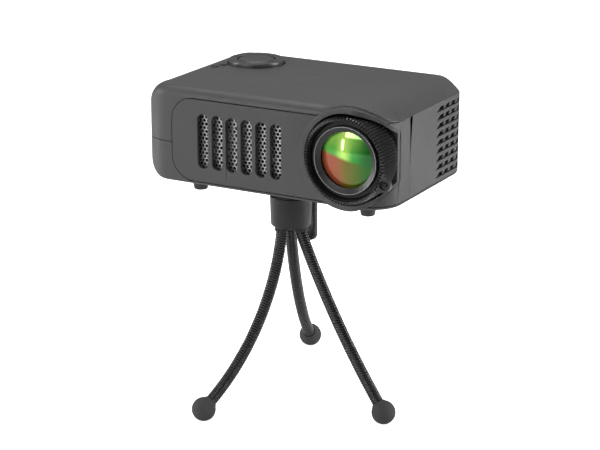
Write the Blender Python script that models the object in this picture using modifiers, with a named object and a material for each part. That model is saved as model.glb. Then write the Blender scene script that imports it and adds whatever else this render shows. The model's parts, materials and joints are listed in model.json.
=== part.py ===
"""Palm-sized home projector on a ball-head tripod with three gooseneck legs.

Units are metres and +Z is up. The projector looks along -Y. Inside the script the case frame is used:
x = 0 at the middle of the case, y = 0 on its front face and z = 0 on its underside. The last step moves
the whole assembly so that the centre of its footprint stands at the world origin, on z = 0.
"""

import math

import bmesh
import bpy
from mathutils import Matrix, Vector

MM = 0.001
GAP = 0.3 * MM  # kept between pieces that touch

# Case
CASE_WIDTH = 127.0 * MM
CASE_DEPTH = 86.0 * MM
CASE_HEIGHT = 44.2 * MM
CASE_WALL = 2.0 * MM
CORNER_RADIUS = 15.0 * MM
SEAM_HEIGHT = 18.5 * MM
# How far each edge round reaches in from the side, and how far it drops
TOP_ROUND = {
    "left": (12.0 * MM, 12.0 * MM),
    "front": (4.0 * MM, 4.0 * MM),
    "rear": (6.0 * MM, 6.0 * MM),
    "right": (14.0 * MM, 5.7 * MM),
}
BOTTOM_ROUND = {
    "left": (11.0 * MM, 11.0 * MM),
    "front": (1.5 * MM, 1.5 * MM),
    "rear": (3.0 * MM, 3.0 * MM),
    "right": (1.5 * MM, 1.5 * MM),
}
ROUND_STEPS = 4
CORNER_STEPS = 6

# Panels let into the case
PANEL_FLOOR = 1.6 * MM
PANEL_LEFT = -45.5 * MM
PANEL_CORNER = 11.0 * MM
PANEL_WRAP = 23.0 * MM
LIP_DROP = 0.2 * MM
SIDE_PANEL_END = 82.0 * MM
SIDE_PANEL_REACH = 9.0 * MM
REAR_PANEL = (-47.0 * MM, 46.0 * MM)
REAR_PANEL_HEIGHTS = (4.0 * MM, 36.0 * MM)
SLOT_COUNT = 6
SLOT_PITCH = 7.53 * MM
SLOT_FIRST = -29.2 * MM
SLOT_WIDTH = 5.4 * MM
SLOT_HEIGHTS = (8.0 * MM, 33.3 * MM)
MESH_THICKNESS = 0.8 * MM
MESH_MARGIN = 3.0 * MM
LOUVRE_ROWS = 9
LOUVRE_PITCH = 3.85 * MM
LOUVRE_FIRST = 3.6 * MM
LOUVRE_HEIGHT = 1.9 * MM
LOUVRE_SPAN = (50.0 * MM, 80.0 * MM)

# Lens and focus ring, on an axis along Y
LENS_X = 45.6 * MM
LENS_Z = 22.9 * MM
COLLAR_RADIUS = 23.0 * MM
COLLAR_BACK_RADIUS = 21.6 * MM
COLLAR_FRONT = -4.0 * MM
COLLAR_BACK = 9.6 * MM
COLLAR_FLOOR = 2.0 * MM
RING_RADIUS = 19.7 * MM
RING_INNER = 17.6 * MM
RING_FRONT = -7.0 * MM
RING_CLEARANCE = 0.7 * MM
RING_END_GAP = 0.4 * MM
RING_CHAMFER = 1.0 * MM
TAB_REACH = 20.6 * MM
TAB_RADIUS = 3.6 * MM
TAB_HOLE = 2.0 * MM
TAB_HOLE_REACH = 21.2 * MM
TAB_SET_BACK = 0.1 * MM
TAB_ANGLE = math.radians(-22.0)
TAB_THICKNESS = 2.6 * MM
MOUNT_CUP = (15.5 * MM, 17.2 * MM)
MOUNT_TUBE = (14.0 * MM, 15.4 * MM)
MOUNT_FRONT = -3.0 * MM
MOUNT_FLANGE = 1.5 * MM
MOUNT_BACK = 30.0 * MM
BARREL_RADIUS = 15.2 * MM
BARREL_TAIL = (12.4 * MM, 13.7 * MM)
BARREL_FRONT = -3.0 * MM
BARREL_STEP = 3.8 * MM
BARREL_BACK = 26.0 * MM
GLASS_RADIUS = 13.0 * MM
FRONT_GLASS_EDGE = -1.7 * MM
FRONT_GLASS_THICKNESS = 3.0 * MM
GLASS_BEDDING = 2.0 * MM
REAR_GLASS_Y = 18.0 * MM
REAR_GLASS_THICKNESS = 4.0 * MM
RETAINER_FRONT = -5.2 * MM

# Control pad on the top cover
PAD_X = -37.0 * MM
PAD_Y = 62.0 * MM
PAD_RADIUS = 13.3 * MM
OK_RADIUS = 8.75 * MM
OK_GAP = 0.4 * MM
ROCKER_INSET = 1.4 * MM
ROCKER_THICKNESS = 0.8 * MM
PAD_RISE = 2.2 * MM
PAD_CLEARANCE = 0.5 * MM
PAD_THICKNESS = 3.8 * MM
KEY_PLACES = {"power_button": (-49.6 * MM, 45.0 * MM), "back_button": (-47.8 * MM, 49.9 * MM)}
KEY_RADIUS = 1.5 * MM
KEY_RISE = 0.5 * MM
KEY_LENGTH = 4.0 * MM
KEY_BOARD_TOP = 38.0 * MM
KEY_BOARD_EDGE = 1.4 * MM
KEY_PEG_RADIUS = 1.5 * MM
KEY_PEGS = ((-49.5 * MM, 73.5 * MM), (-25.5 * MM, 47.0 * MM))
BOARD_THICKNESS = 1.6 * MM

# Underside
FOOT_PLACES = {
    "rubber_foot_front_left": (-36.0 * MM, 9.0 * MM),
    "rubber_foot_front_right": (50.0 * MM, 9.0 * MM),
    "rubber_foot_rear_left": (-36.0 * MM, 77.0 * MM),
    "rubber_foot_rear_right": (50.0 * MM, 77.0 * MM),
}
FOOT_TOP_RADIUS = 3.8 * MM
FOOT_BASE_RADIUS = 3.1 * MM
FOOT_HEIGHT = 4.2 * MM
SCREW_PLACES = {
    "case_screw_left_front": (-50.3 * MM, 24.0 * MM),
    "case_screw_left_rear": (-50.3 * MM, 79.2 * MM),
    "case_screw_middle_front": (17.0 * MM, 14.0 * MM),
    "case_screw_right_rear": (53.0 * MM, 69.0 * MM),
}
SCREW_HEAD = 2.4 * MM
SCREW_SHANK = 1.2 * MM
SCREW_LENGTH = 8.0 * MM
SCREW_HEAD_HEIGHT = 1.0 * MM
POST_RADIUS = 2.8 * MM
POST_FOOT = 3.2 * MM

# Inside
BOARD_LEVEL = 6.0 * MM
BOARD_LEFT = -45.5 * MM
BOARD_INNER = -31.0 * MM
BOARD_RIGHT = 20.0 * MM
BOARD_FRONT = 12.0 * MM
BOARD_STRIP = 66.0 * MM
BOARD_REAR = 82.0 * MM
FAN_CENTRE = -10.0 * MM
FAN_SIZE = 34.0 * MM
FAN_DEPTH = 9.0 * MM
FAN_FRONT = 7.0 * MM
FAN_BLADES = 7
FAN_BORE = 15.8 * MM
FAN_HUB = 6.5 * MM
FAN_SPIDER = 1.5 * MM
FAN_HUB_INSET = 1.0 * MM
FAN_END_GAP = 0.6 * MM
FAN_BLADE_THICKNESS = 0.8 * MM
FAN_BLADE_CHORD = 6.0 * MM
FAN_BLADE_PITCH = math.radians(38.0)
SINK_BOX = ((-28.0 * MM, 6.0 * MM), (21.0 * MM, 61.0 * MM), (10.0 * MM, 35.5 * MM))
SINK_FINS = 9
SINK_BASE = 4.0 * MM
ENGINE_BOX = ((10.0 * MM, 56.5 * MM), (31.0 * MM, 62.0 * MM), (3.0 * MM, 39.2 * MM))
GATE_HALF = (9.0 * MM, 7.0 * MM)
ENGINE_WALL = 1.6 * MM
LED_AXIS_Y = 47.0 * MM
CONDENSER_RADIUS = 9.0 * MM
CONDENSER_THICKNESS = 2.5 * MM
LCD_THICKNESS = 1.3 * MM
FIELD_LENS_OFFSET = 3.0 * MM
MIRROR_SIZE = (24.0 * MM, 1.2 * MM, 22.0 * MM)
MIRROR_SHIFT = 2.0 * MM
LED_SIZE = (1.6 * MM, 18.0 * MM)
SPEAKER_RADIUS = 10.0 * MM
SPEAKER_DEPTH = 7.0 * MM
SPEAKER_RIM = 1.5 * MM
SPEAKER_X = 33.0 * MM
SPEAKER_Z = 20.0 * MM
SOCKETS = {  # name: (x, width, height, length)
    "hdmi_socket": (-36.5 * MM, 15.0 * MM, 5.6 * MM, 11.5 * MM),
    "usb_socket": (-18.0 * MM, 13.4 * MM, 6.4 * MM, 13.0 * MM),
    "av_socket": (-2.0 * MM, 6.4 * MM, 6.0 * MM, 12.0 * MM),
    "dc_socket": (12.0 * MM, 9.0 * MM, 11.0 * MM, 14.0 * MM),
}
SOCKET_FACE = 1.0 * MM  # a socket's mouth lies this far inside the case's back
SOCKET_LIP = 0.5 * MM
SOCKET_TONGUE = 1.0 * MM
SOCKET_BACK = 2.0 * MM
AV_BORE = 1.8 * MM
DC_BORE = 3.0 * MM
DC_PIN = 0.9 * MM
BOARD_POST_RADIUS = 2.0 * MM
BOARD_POST_EDGE = 5.0 * MM
SPEAKER_SLOTS = 5
SPEAKER_SLOT_PITCH = 3.4 * MM
SPEAKER_SLOT_SIZE = (1.5 * MM, 14.0 * MM)

# Ball head, measured down from the underside of the case
TRIPOD_X = -7.0 * MM
TRIPOD_Y = 42.0 * MM
BUSH_RADIUS = 5.0 * MM
BUSH_BORE = 3.5 * MM
BUSH_HEIGHT = 7.0 * MM
BUSH_BOSS_WALL = 2.5 * MM
STUD_RADIUS = 3.1 * MM
STUD_LENGTH = 5.5 * MM
PLATE_RADIUS = 9.0 * MM
PLATE_THICKNESS = 3.0 * MM
NECK_RADIUS = 2.8 * MM
BALL_DROP = 15.0 * MM
BALL_RADIUS = 6.0 * MM
SEAT_WALL = 1.6 * MM
HEAD_TOP_RADIUS = 10.0 * MM
HEAD_BASE_RADIUS = 9.5 * MM
HEAD_RIM = 3.3 * MM  # height of the head's rim over the ball's centre
HEAD_BASE_DROP = 26.3 * MM
HEAD_EDGE = 0.9 * MM
LEVER_ANGLE = math.radians(70.0)
LEVER_STANDOFF = 1.4 * MM
LEVER_WIDTH = 7.6 * MM
LEVER_THICKNESS = 2.2 * MM
LEVER_LENGTH = 21.5 * MM
LEVER_HUB_RADIUS = 3.0 * MM

# Gooseneck legs
LEG_RADIUS = 2.8 * MM
LEG_LINKS = 3
LEG_LINK_LENGTH = 31.2 * MM
LEG_DROP = 74.4 * MM
LEG_EXIT_DROP = 29.0 * MM
LEG_CIRCLE = 5.1 * MM
HUB_HEIGHT = 2.0 * MM
# For each leg: where it leaves the hub, the way it leans, and its bend at each knuckle
LEGS = {
    "left": (math.radians(-118.0), math.radians(-105.0), math.radians(17.7)),
    "right": (math.radians(2.0), math.radians(-18.4), math.radians(5.0)),
    "rear": (math.radians(122.0), math.radians(108.3), math.radians(11.7)),
}
BALL_FOOT_RADIUS = 5.6 * MM
BALL_FOOT_FLAT = 5.4 * MM  # from the ball's centre down to its small flat
BALL_FOOT_FLOOR = 1.6 * MM  # from the ball's centre up to the end of the leg's hole

PARTS = None
CUTTERS = None


# Scene ----------------------------------------------------------------------------------------------


def clear_scene():
    for obj in list(bpy.data.objects):
        bpy.data.objects.remove(obj)


def new_collection(name):
    collection = bpy.data.collections.new(name)
    bpy.context.scene.collection.children.link(collection)
    return collection


def material(name, colour, roughness, metallic=0.0):
    made = bpy.data.materials.new(name)
    made.use_nodes = True
    shader = made.node_tree.nodes["Principled BSDF"]
    shader.inputs["Base Color"].default_value = (*colour, 1.0)
    shader.inputs["Roughness"].default_value = roughness
    shader.inputs["Metallic"].default_value = metallic
    return made


def frame_at(name, location, parent=None, rotation=(0.0, 0.0, 0.0)):
    """An empty at a joint's axis or an assembly's reference point, with its location under its parent."""
    empty = bpy.data.objects.new(name, None)
    empty.empty_display_size = 5 * MM
    empty.parent = parent
    empty.location = location
    empty.rotation_euler = rotation
    PARTS.objects.link(empty)
    return empty


def object_of(name, form):
    """A new object from a bmesh, which is freed."""
    mesh = bpy.data.meshes.new(name)
    form.to_mesh(mesh)
    form.free()
    obj = bpy.data.objects.new(name, mesh)
    PARTS.objects.link(obj)
    return obj


def settle(obj, parent, colour, location=(0.0, 0.0, 0.0), rotation=(0.0, 0.0, 0.0)):
    """Gives a finished piece its parent, place and material."""
    obj.parent = parent
    obj.location = location
    obj.rotation_euler = rotation
    obj.data.materials.clear()
    obj.data.materials.append(colour)
    obj.data.shade_smooth()
    obj.data.set_sharp_from_angle(angle=math.radians(35))
    return obj


def as_cutter(obj, parent, location=(0.0, 0.0, 0.0), rotation=(0.0, 0.0, 0.0)):
    """Moves a shape to the cutters, at its place under the same parent as what it cuts or joins."""
    PARTS.objects.unlink(obj)
    CUTTERS.objects.link(obj)
    obj.parent = parent
    obj.location = location
    obj.rotation_euler = rotation
    obj.hide_render = True
    obj.display_type = "WIRE"
    return obj


def boolean(target, other, operation):
    modifier = target.modifiers.new(f"{operation.lower()}_{other.name}", "BOOLEAN")
    modifier.operation = operation
    modifier.object = other
    modifier.solver = "EXACT"


def cut(target, *others):
    for other in others:
        boolean(target, other, "DIFFERENCE")


def join(target, *others):
    for other in others:
        boolean(target, other, "UNION")


def keep(target, other):
    boolean(target, other, "INTERSECT")


# Shapes ---------------------------------------------------------------------------------------------


def arc_points(centre, radius, start, end, steps):
    """Points on an arc, ends included; angles in radians."""
    turn = [start + (end - start) * i / steps for i in range(steps + 1)]
    return [(centre[0] + radius * math.cos(a), centre[1] + radius * math.sin(a)) for a in turn]


def box(name, x, y, z, bevel=0.0):
    """A block between two values on each axis."""
    form = bmesh.new()
    bmesh.ops.create_cube(form, size=1.0)
    size = Vector((x[1] - x[0], y[1] - y[0], z[1] - z[0]))
    centre = Vector((x[0] + x[1], y[0] + y[1], z[0] + z[1])) / 2
    bmesh.ops.scale(form, vec=size, verts=form.verts)
    bmesh.ops.translate(form, vec=centre, verts=form.verts)
    obj = object_of(name, form)
    if bevel:
        modifier = obj.modifiers.new("rounded_edges", "BEVEL")
        modifier.width = bevel
        modifier.segments = 2
    return obj


def cylinder(name, radius, low, high, sides=24, top_radius=None):
    """A solid cylinder, or a cone, along Z between two heights."""
    form = bmesh.new()
    bmesh.ops.create_cone(
        form,
        cap_ends=True,
        segments=sides,
        radius1=radius,
        radius2=radius if top_radius is None else top_radius,
        depth=high - low,
    )
    bmesh.ops.translate(form, vec=(0, 0, (low + high) / 2), verts=form.verts)
    return object_of(name, form)


def turned(name, profile, steps=24):
    """A profile of (radius, height) pairs, top to bottom on its outer side, turned about Z.

    A profile that doesn't start and end on the axis is closed, so it makes a ring.
    """
    form = bmesh.new()
    corners = [form.verts.new((radius, 0.0, height)) for radius, height in profile]
    for first, second in zip(corners, corners[1:]):
        form.edges.new((first, second))
    if profile[0][0] > 0 or profile[-1][0] > 0:
        form.edges.new((corners[-1], corners[0]))
    obj = object_of(name, form)
    screw = obj.modifiers.new("turn", "SCREW")
    screw.steps = steps
    screw.render_steps = steps
    screw.use_merge_vertices = True
    screw.merge_threshold = 0.00001
    return obj


def outline_solid(name, points, thickness):
    """A flat outline in the XY plane, with its thickness centred on z = 0, as a welded mesh."""
    curve = bpy.data.curves.new(name, "CURVE")
    curve.dimensions = "2D"
    curve.fill_mode = "BOTH"
    curve.extrude = thickness / 2
    spline = curve.splines.new("POLY")
    spline.points.add(len(points) - 1)
    for point, (x, y) in zip(spline.points, points):
        point.co = (x, y, 0.0, 1.0)
    spline.use_cyclic_u = True
    drawn = bpy.data.objects.new(f"{name}_outline", curve)
    PARTS.objects.link(drawn)
    graph = bpy.context.evaluated_depsgraph_get()
    mesh = bpy.data.meshes.new_from_object(drawn.evaluated_get(graph))
    bpy.data.objects.remove(drawn)
    form = bmesh.new()
    form.from_mesh(mesh)
    bpy.data.meshes.remove(mesh)
    bmesh.ops.remove_doubles(form, verts=form.verts, dist=0.000001)
    bmesh.ops.recalc_face_normals(form, faces=form.faces)
    return object_of(name, form)


def stadium(width, height, steps=6):
    """Outline of a slot with round ends, upright, centred on the origin."""
    radius = width / 2
    reach = height / 2 - radius
    upper = arc_points((0.0, reach), radius, 0.0, math.pi, steps)
    lower = arc_points((0.0, -reach), radius, math.pi, 2 * math.pi, steps)
    return upper + lower


FACING_FRONT = (math.radians(90), 0.0, 0.0)  # turns a piece's own +Z to -Y, the front
FACING_REAR = (math.radians(-90), 0.0, 0.0)  # turns a piece's own +Z to +Y
FACING_RIGHT = (0.0, math.radians(90), 0.0)  # turns a piece's own +Z to +X


# Case -----------------------------------------------------------------------------------------------


def plan_points(inset=0.0, front=0.0):
    """(x, y, normal x, normal y) round the case seen from above, moved in by an inset."""
    radius = CORNER_RADIUS - inset
    half = CASE_WIDTH / 2 - CORNER_RADIUS
    low, high = front + CORNER_RADIUS, CASE_DEPTH - CORNER_RADIUS
    corners = (((-half, low), 180), ((half, low), 270), ((half, high), 0), ((-half, high), 90))
    points = []
    for centre, start in corners:
        for i in range(CORNER_STEPS + 1):
            angle = math.radians(start + 90 * i / CORNER_STEPS)
            normal = (math.cos(angle), math.sin(angle))
            points.append((centre[0] + radius * normal[0], centre[1] + radius * normal[1], *normal))
    return points


def side_shares(normal_x, normal_y):
    """How much each side of the case counts at a point of its plan outline; the shares add up to 1."""
    return {
        "left": max(-normal_x, 0.0) ** 2,
        "right": max(normal_x, 0.0) ** 2,
        "front": max(-normal_y, 0.0) ** 2,
        "rear": max(normal_y, 0.0) ** 2,
    }


def top_point(side, share, wall):
    """(inset, drop) of the top edge's section on one side, from the wall at 0 to the flat top at 1."""
    reach, drop = TOP_ROUND[side]
    if side == "right":  # a crisp lip, then a shallow slope
        return reach * share, drop * (1 - share) ** 2
    reach, drop = reach - wall, drop - wall
    angle = share * math.pi / 2
    return reach * (1 - math.cos(angle)), drop * (1 - math.sin(angle))


def bottom_point(side, share, wall):
    """(inset, rise) of the bottom edge's section on one side, from the flat bottom at 0 to the wall at 1."""
    reach, rise = (max(size - wall, GAP) for size in BOTTOM_ROUND[side])
    angle = share * math.pi / 2
    return reach * (1 - math.sin(angle)), rise * (1 - math.cos(angle))


def case_ring(form, section, share, wall):
    """One level of the case's outside, or of the space inside a wall."""
    ring = []
    for x, y, normal_x, normal_y in plan_points(wall):
        shares = side_shares(normal_x, normal_y)
        inset = sum(part * section(side, share, wall)[0] for side, part in shares.items())
        height = sum(part * section(side, share, wall)[1] for side, part in shares.items())
        if section is top_point:
            height = CASE_HEIGHT - wall - height
        else:
            height += wall
        ring.append(form.verts.new((x - normal_x * inset, y - normal_y * inset, height)))
    return ring


def case_form(name, wall=0.0):
    """The case as one closed loft, with a different edge round on each side."""
    form = bmesh.new()
    levels = [i / ROUND_STEPS for i in range(ROUND_STEPS + 1)]
    rings = [case_ring(form, bottom_point, level, wall) for level in levels]
    rings += [case_ring(form, top_point, level, wall) for level in levels]
    for lower, upper in zip(rings, rings[1:]):
        for i, corner in enumerate(lower):
            j = (i + 1) % len(lower)
            form.faces.new((corner, lower[j], upper[j], upper[i]))
    form.faces.new(list(reversed(rings[0])))
    form.faces.new(rings[-1])
    return object_of(name, form)


def lip_height(x):
    """Height of the top cover's lower edge over the front wall and round the front right corner."""
    along = min(max((x - CASE_WIDTH / 2 + CORNER_RADIUS) / CORNER_RADIUS, 0.0), 1.0) ** 2
    drop = TOP_ROUND["front"][1] * (1 - along) + TOP_ROUND["right"][1] * along
    return CASE_HEIGHT - drop - LIP_DROP


def front_zone(name, grow, parent):
    """The space that the front panel takes out of the case wall, from its left end to the side panel."""
    low = PANEL_FLOOR - grow
    left = PANEL_LEFT - grow
    radius = PANEL_CORNER + grow
    beyond = CASE_WIDTH
    upper_left = lip_height(left) + grow - radius
    outline = arc_points((left + radius, low + radius), radius, math.pi, 1.5 * math.pi, 5)
    outline += [(beyond, low), (beyond, lip_height(beyond) + grow)]
    steps = 4
    corner = CASE_WIDTH / 2 - CORNER_RADIUS
    outline += [
        (corner + CORNER_RADIUS * i / steps, lip_height(corner + CORNER_RADIUS * i / steps) + grow)
        for i in reversed(range(steps + 1))
    ]
    outline += arc_points((left + radius, upper_left), radius, 0.5 * math.pi, math.pi, 5)
    face = outline_solid(name, outline, 2 * CASE_DEPTH)
    as_cutter(face, parent, rotation=FACING_FRONT)

    inner = CORNER_RADIUS - CASE_WALL - GAP
    wrap = PANEL_WRAP + grow
    plan = [(-CASE_WIDTH, -CASE_DEPTH), (CASE_WIDTH, -CASE_DEPTH), (CASE_WIDTH, wrap)]
    plan += [(corner + inner, wrap)]
    plan += arc_points((corner, CORNER_RADIUS), inner, 0.0, -math.pi / 2, 6)
    plan += [(-CASE_WIDTH, CASE_WALL + GAP)]
    walls = outline_solid(f"{name}_walls", plan, 4 * CASE_HEIGHT)
    as_cutter(walls, parent)
    keep(face, walls)
    return face


def side_zone(name, grow, parent):
    """The space of the louvred panel on the right."""
    inner = CASE_WIDTH / 2 - SIDE_PANEL_REACH
    y = (PANEL_WRAP + GAP - grow, SIDE_PANEL_END + grow)
    z = (PANEL_FLOOR - grow, lip_height(CASE_WIDTH) + grow)
    return as_cutter(box(name, (inner, CASE_WIDTH), y, z), parent)


def rear_zone(name, grow, parent):
    """The space of the socket panel at the back."""
    x = (REAR_PANEL[0] - grow, REAR_PANEL[1] + grow)
    z = (REAR_PANEL_HEIGHTS[0] - grow, REAR_PANEL_HEIGHTS[1] + grow)
    y = (CASE_DEPTH - CASE_WALL - GAP, 2 * CASE_DEPTH)
    return as_cutter(box(name, x, y, z), parent)


def collar_form(name, grow, parent):
    """The collar round the focus ring: a slightly conical boss that follows the case's right corner."""
    boss = cylinder(
        name,
        COLLAR_BACK_RADIUS + grow,
        -COLLAR_BACK - grow,
        -COLLAR_FRONT,
        sides=48,
        top_radius=COLLAR_RADIUS + grow,
    )
    as_cutter(boss, parent, (LENS_X, 0.0, LENS_Z), FACING_FRONT)
    return boss


def wall_patch(name, zone, parent):
    """The part of the case wall that lies in a zone."""
    patch = case_form(name)
    keep(patch, zone)
    cut(patch, as_cutter(case_form(f"{name}_hollow", CASE_WALL), parent))
    return patch


def make_top_cover(parent, plastic):
    cover = case_form("top_cover")
    cut(cover, as_cutter(case_form("top_hollow", CASE_WALL), parent))
    wide = (-CASE_WIDTH, CASE_WIDTH)
    below = box("below_seam", wide, wide, (-CASE_HEIGHT, SEAM_HEIGHT + GAP / 2))
    cut(cover, as_cutter(below, parent))
    roof = as_cutter(case_form("mid_wall", CASE_WALL / 2), parent)
    for name, (x, y) in SCREW_PLACES.items():
        post = cylinder(f"post_{name}", POST_RADIUS, POST_FOOT, CASE_HEIGHT, 12)
        keep(as_cutter(post, parent, (x, y, 0.0)), roof)
        join(cover, post)
    for i, (x, y) in enumerate(KEY_PEGS):
        peg = cylinder(f"key_peg_{i}", KEY_PEG_RADIUS, KEY_BOARD_TOP + GAP, CASE_HEIGHT, 8)
        keep(as_cutter(peg, parent, (x, y, 0.0)), roof)
        join(cover, peg)
    cut(cover, front_zone("front_opening", GAP, parent))
    cut(cover, side_zone("side_opening", GAP, parent))
    cut(cover, rear_zone("rear_opening", GAP, parent))
    cut(cover, collar_form("collar_room", GAP, parent))
    pad = cylinder("pad_hole", PAD_RADIUS + PAD_CLEARANCE, KEY_BOARD_TOP, 2 * CASE_HEIGHT, 32)
    cut(cover, as_cutter(pad, parent, (PAD_X, PAD_Y, 0.0)))
    for name, (x, y) in KEY_PLACES.items():
        hole = cylinder(f"hole_{name}", KEY_RADIUS + GAP, KEY_BOARD_TOP, 2 * CASE_HEIGHT, 16)
        cut(cover, as_cutter(hole, parent, (x, y, 0.0)))
    for name, (x, y) in SCREW_PLACES.items():
        hole = cylinder(f"pilot_{name}", SCREW_SHANK + GAP, -CASE_HEIGHT, SCREW_LENGTH + 3 * CASE_WALL, 10)
        cut(cover, as_cutter(hole, parent, (x, y, 0.0)))
    settle(cover, parent, plastic)


def make_bottom_cover(parent, plastic):
    cover = case_form("bottom_cover")
    cut(cover, as_cutter(case_form("bottom_hollow", CASE_WALL), parent))
    wide = (-CASE_WIDTH, CASE_WIDTH)
    above = box("above_seam", wide, wide, (SEAM_HEIGHT - GAP / 2, 2 * CASE_HEIGHT))
    cut(cover, as_cutter(above, parent))
    cut(cover, front_zone("front_opening_low", GAP, parent))
    cut(cover, side_zone("side_opening_low", GAP, parent))
    cut(cover, rear_zone("rear_opening_low", GAP, parent))
    cut(cover, collar_form("collar_room_low", GAP, parent))
    boss = cylinder("bush_boss", BUSH_RADIUS + BUSH_BOSS_WALL, CASE_WALL / 2, BUSH_HEIGHT - GAP, 24)
    join(cover, as_cutter(boss, parent, (TRIPOD_X, TRIPOD_Y, 0.0)))
    for i, (x, y) in enumerate(board_post_places()):
        post = cylinder(f"board_post_{i}", BOARD_POST_RADIUS, CASE_WALL / 2, BOARD_LEVEL - GAP, 8)
        join(cover, as_cutter(post, parent, (x, y, 0.0)))
    bore = cylinder("bush_bore", BUSH_RADIUS + GAP, -CASE_HEIGHT, CASE_HEIGHT, 24)
    cut(cover, as_cutter(bore, parent, (TRIPOD_X, TRIPOD_Y, 0.0)))
    for name, (x, y) in SCREW_PLACES.items():
        shank = cylinder(f"way_{name}", SCREW_SHANK + GAP, -CASE_HEIGHT, CASE_HEIGHT, 10)
        head = cylinder(f"sink_{name}", SCREW_HEAD + GAP, -CASE_HEIGHT, SCREW_HEAD_HEIGHT + GAP, 16)
        cut(cover, as_cutter(shank, parent, (x, y, 0.0)))
        cut(cover, as_cutter(head, parent, (x, y, 0.0)))
    settle(cover, parent, plastic)


def board_post_places():
    edge = BOARD_POST_EDGE
    return (
        (BOARD_LEFT + edge, BOARD_FRONT + edge),
        (BOARD_LEFT + edge, BOARD_REAR - edge),
        (BOARD_RIGHT - edge, BOARD_STRIP + edge),
    )


def make_front_panel(parent, plastic):
    panel = wall_patch("front_panel", front_zone("front_area", 0.0, parent), parent)
    plan = outline_solid("collar_plan", [p[:2] for p in plan_points(front=COLLAR_FRONT)], 4 * CASE_HEIGHT)
    collar = collar_form("collar", 0.0, parent)
    keep(collar, as_cutter(plan, parent))
    join(panel, collar)
    axis = (LENS_X, 0.0, LENS_Z)
    pocket = COLLAR_BACK - COLLAR_FLOOR
    bore = cylinder("ring_bore", RING_RADIUS + RING_CLEARANCE, -pocket, 2 * CASE_HEIGHT, 48)
    throat = cylinder("mount_hole", MOUNT_TUBE[1] + GAP, -CASE_HEIGHT, CASE_HEIGHT, 40)
    cut(panel, as_cutter(bore, parent, axis, FACING_FRONT))
    cut(panel, as_cutter(throat, parent, axis, FACING_FRONT))
    height = SLOT_HEIGHTS[1] - SLOT_HEIGHTS[0]
    middle = (SLOT_HEIGHTS[1] + SLOT_HEIGHTS[0]) / 2
    for i in range(SLOT_COUNT):
        slot = outline_solid(f"air_slot_{i}", stadium(SLOT_WIDTH, height), 4 * CASE_WALL)
        place = (SLOT_FIRST + i * SLOT_PITCH, 0.0, middle)
        cut(panel, as_cutter(slot, parent, place, FACING_FRONT))
    settle(panel, parent, plastic)


def make_intake_mesh(parent, metal):
    side = SLOT_WIDTH / 2 + MESH_MARGIN
    x = (SLOT_FIRST - side, SLOT_FIRST + (SLOT_COUNT - 1) * SLOT_PITCH + side)
    y = (CASE_WALL + GAP, CASE_WALL + GAP + MESH_THICKNESS)
    z = (SLOT_HEIGHTS[0] - MESH_MARGIN, SLOT_HEIGHTS[1] + MESH_MARGIN)
    settle(box("intake_mesh", x, y, z), parent, metal)


def make_side_grille(parent, plastic):
    panel = wall_patch("side_grille", side_zone("side_area", 0.0, parent), parent)
    for i in range(LOUVRE_ROWS):
        low = LOUVRE_FIRST + i * LOUVRE_PITCH
        x = (CASE_WIDTH / 2 - 2 * SIDE_PANEL_REACH, CASE_WIDTH)
        cut(panel, as_cutter(box(f"louvre_{i}", x, LOUVRE_SPAN, (low, low + LOUVRE_HEIGHT)), parent))
    settle(panel, parent, plastic)


def make_rear_panel(parent, plastic):
    panel = wall_patch("rear_panel", rear_zone("rear_area", 0.0, parent), parent)
    deep = (CASE_DEPTH - 3 * CASE_WALL, CASE_DEPTH + CASE_WALL)
    floor = BOARD_LEVEL + BOARD_THICKNESS + GAP
    for name, (x, width, height, _) in SOCKETS.items():
        hole = box(
            f"hole_{name}",
            (x - width / 2 - GAP, x + width / 2 + GAP),
            deep,
            (floor - GAP, floor + height + GAP),
        )
        cut(panel, as_cutter(hole, parent))
    for i in range(SPEAKER_SLOTS):
        offset = (i - (SPEAKER_SLOTS - 1) / 2) * SPEAKER_SLOT_PITCH
        slot = outline_solid(f"sound_slot_{i}", stadium(*SPEAKER_SLOT_SIZE, 3), 4 * CASE_WALL)
        cut(panel, as_cutter(slot, parent, (SPEAKER_X + offset, CASE_DEPTH, SPEAKER_Z), FACING_FRONT))
    settle(panel, parent, plastic)


def make_case_trim(parent, rubber, steel):
    for name, (x, y) in FOOT_PLACES.items():
        profile = [
            (0.0, -GAP),
            (FOOT_TOP_RADIUS, -GAP),
            (FOOT_BASE_RADIUS, -GAP - FOOT_HEIGHT + 0.5 * MM),
            (FOOT_BASE_RADIUS - 0.5 * MM, -GAP - FOOT_HEIGHT),
            (0.0, -GAP - FOOT_HEIGHT),
        ]
        settle(turned(name, profile, 16), parent, rubber, (x, y, 0.0))
    for name, (x, y) in SCREW_PLACES.items():
        profile = [
            (0.0, SCREW_LENGTH),
            (SCREW_SHANK, SCREW_LENGTH),
            (SCREW_SHANK, SCREW_HEAD_HEIGHT),
            (SCREW_HEAD, SCREW_HEAD_HEIGHT),
            (SCREW_HEAD, GAP),
            (0.0, GAP),
        ]
        settle(turned(name, profile, 10), parent, steel, (x, y, 0.0))


# Controls -------------------------------------------------------------------------------------------


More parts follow.
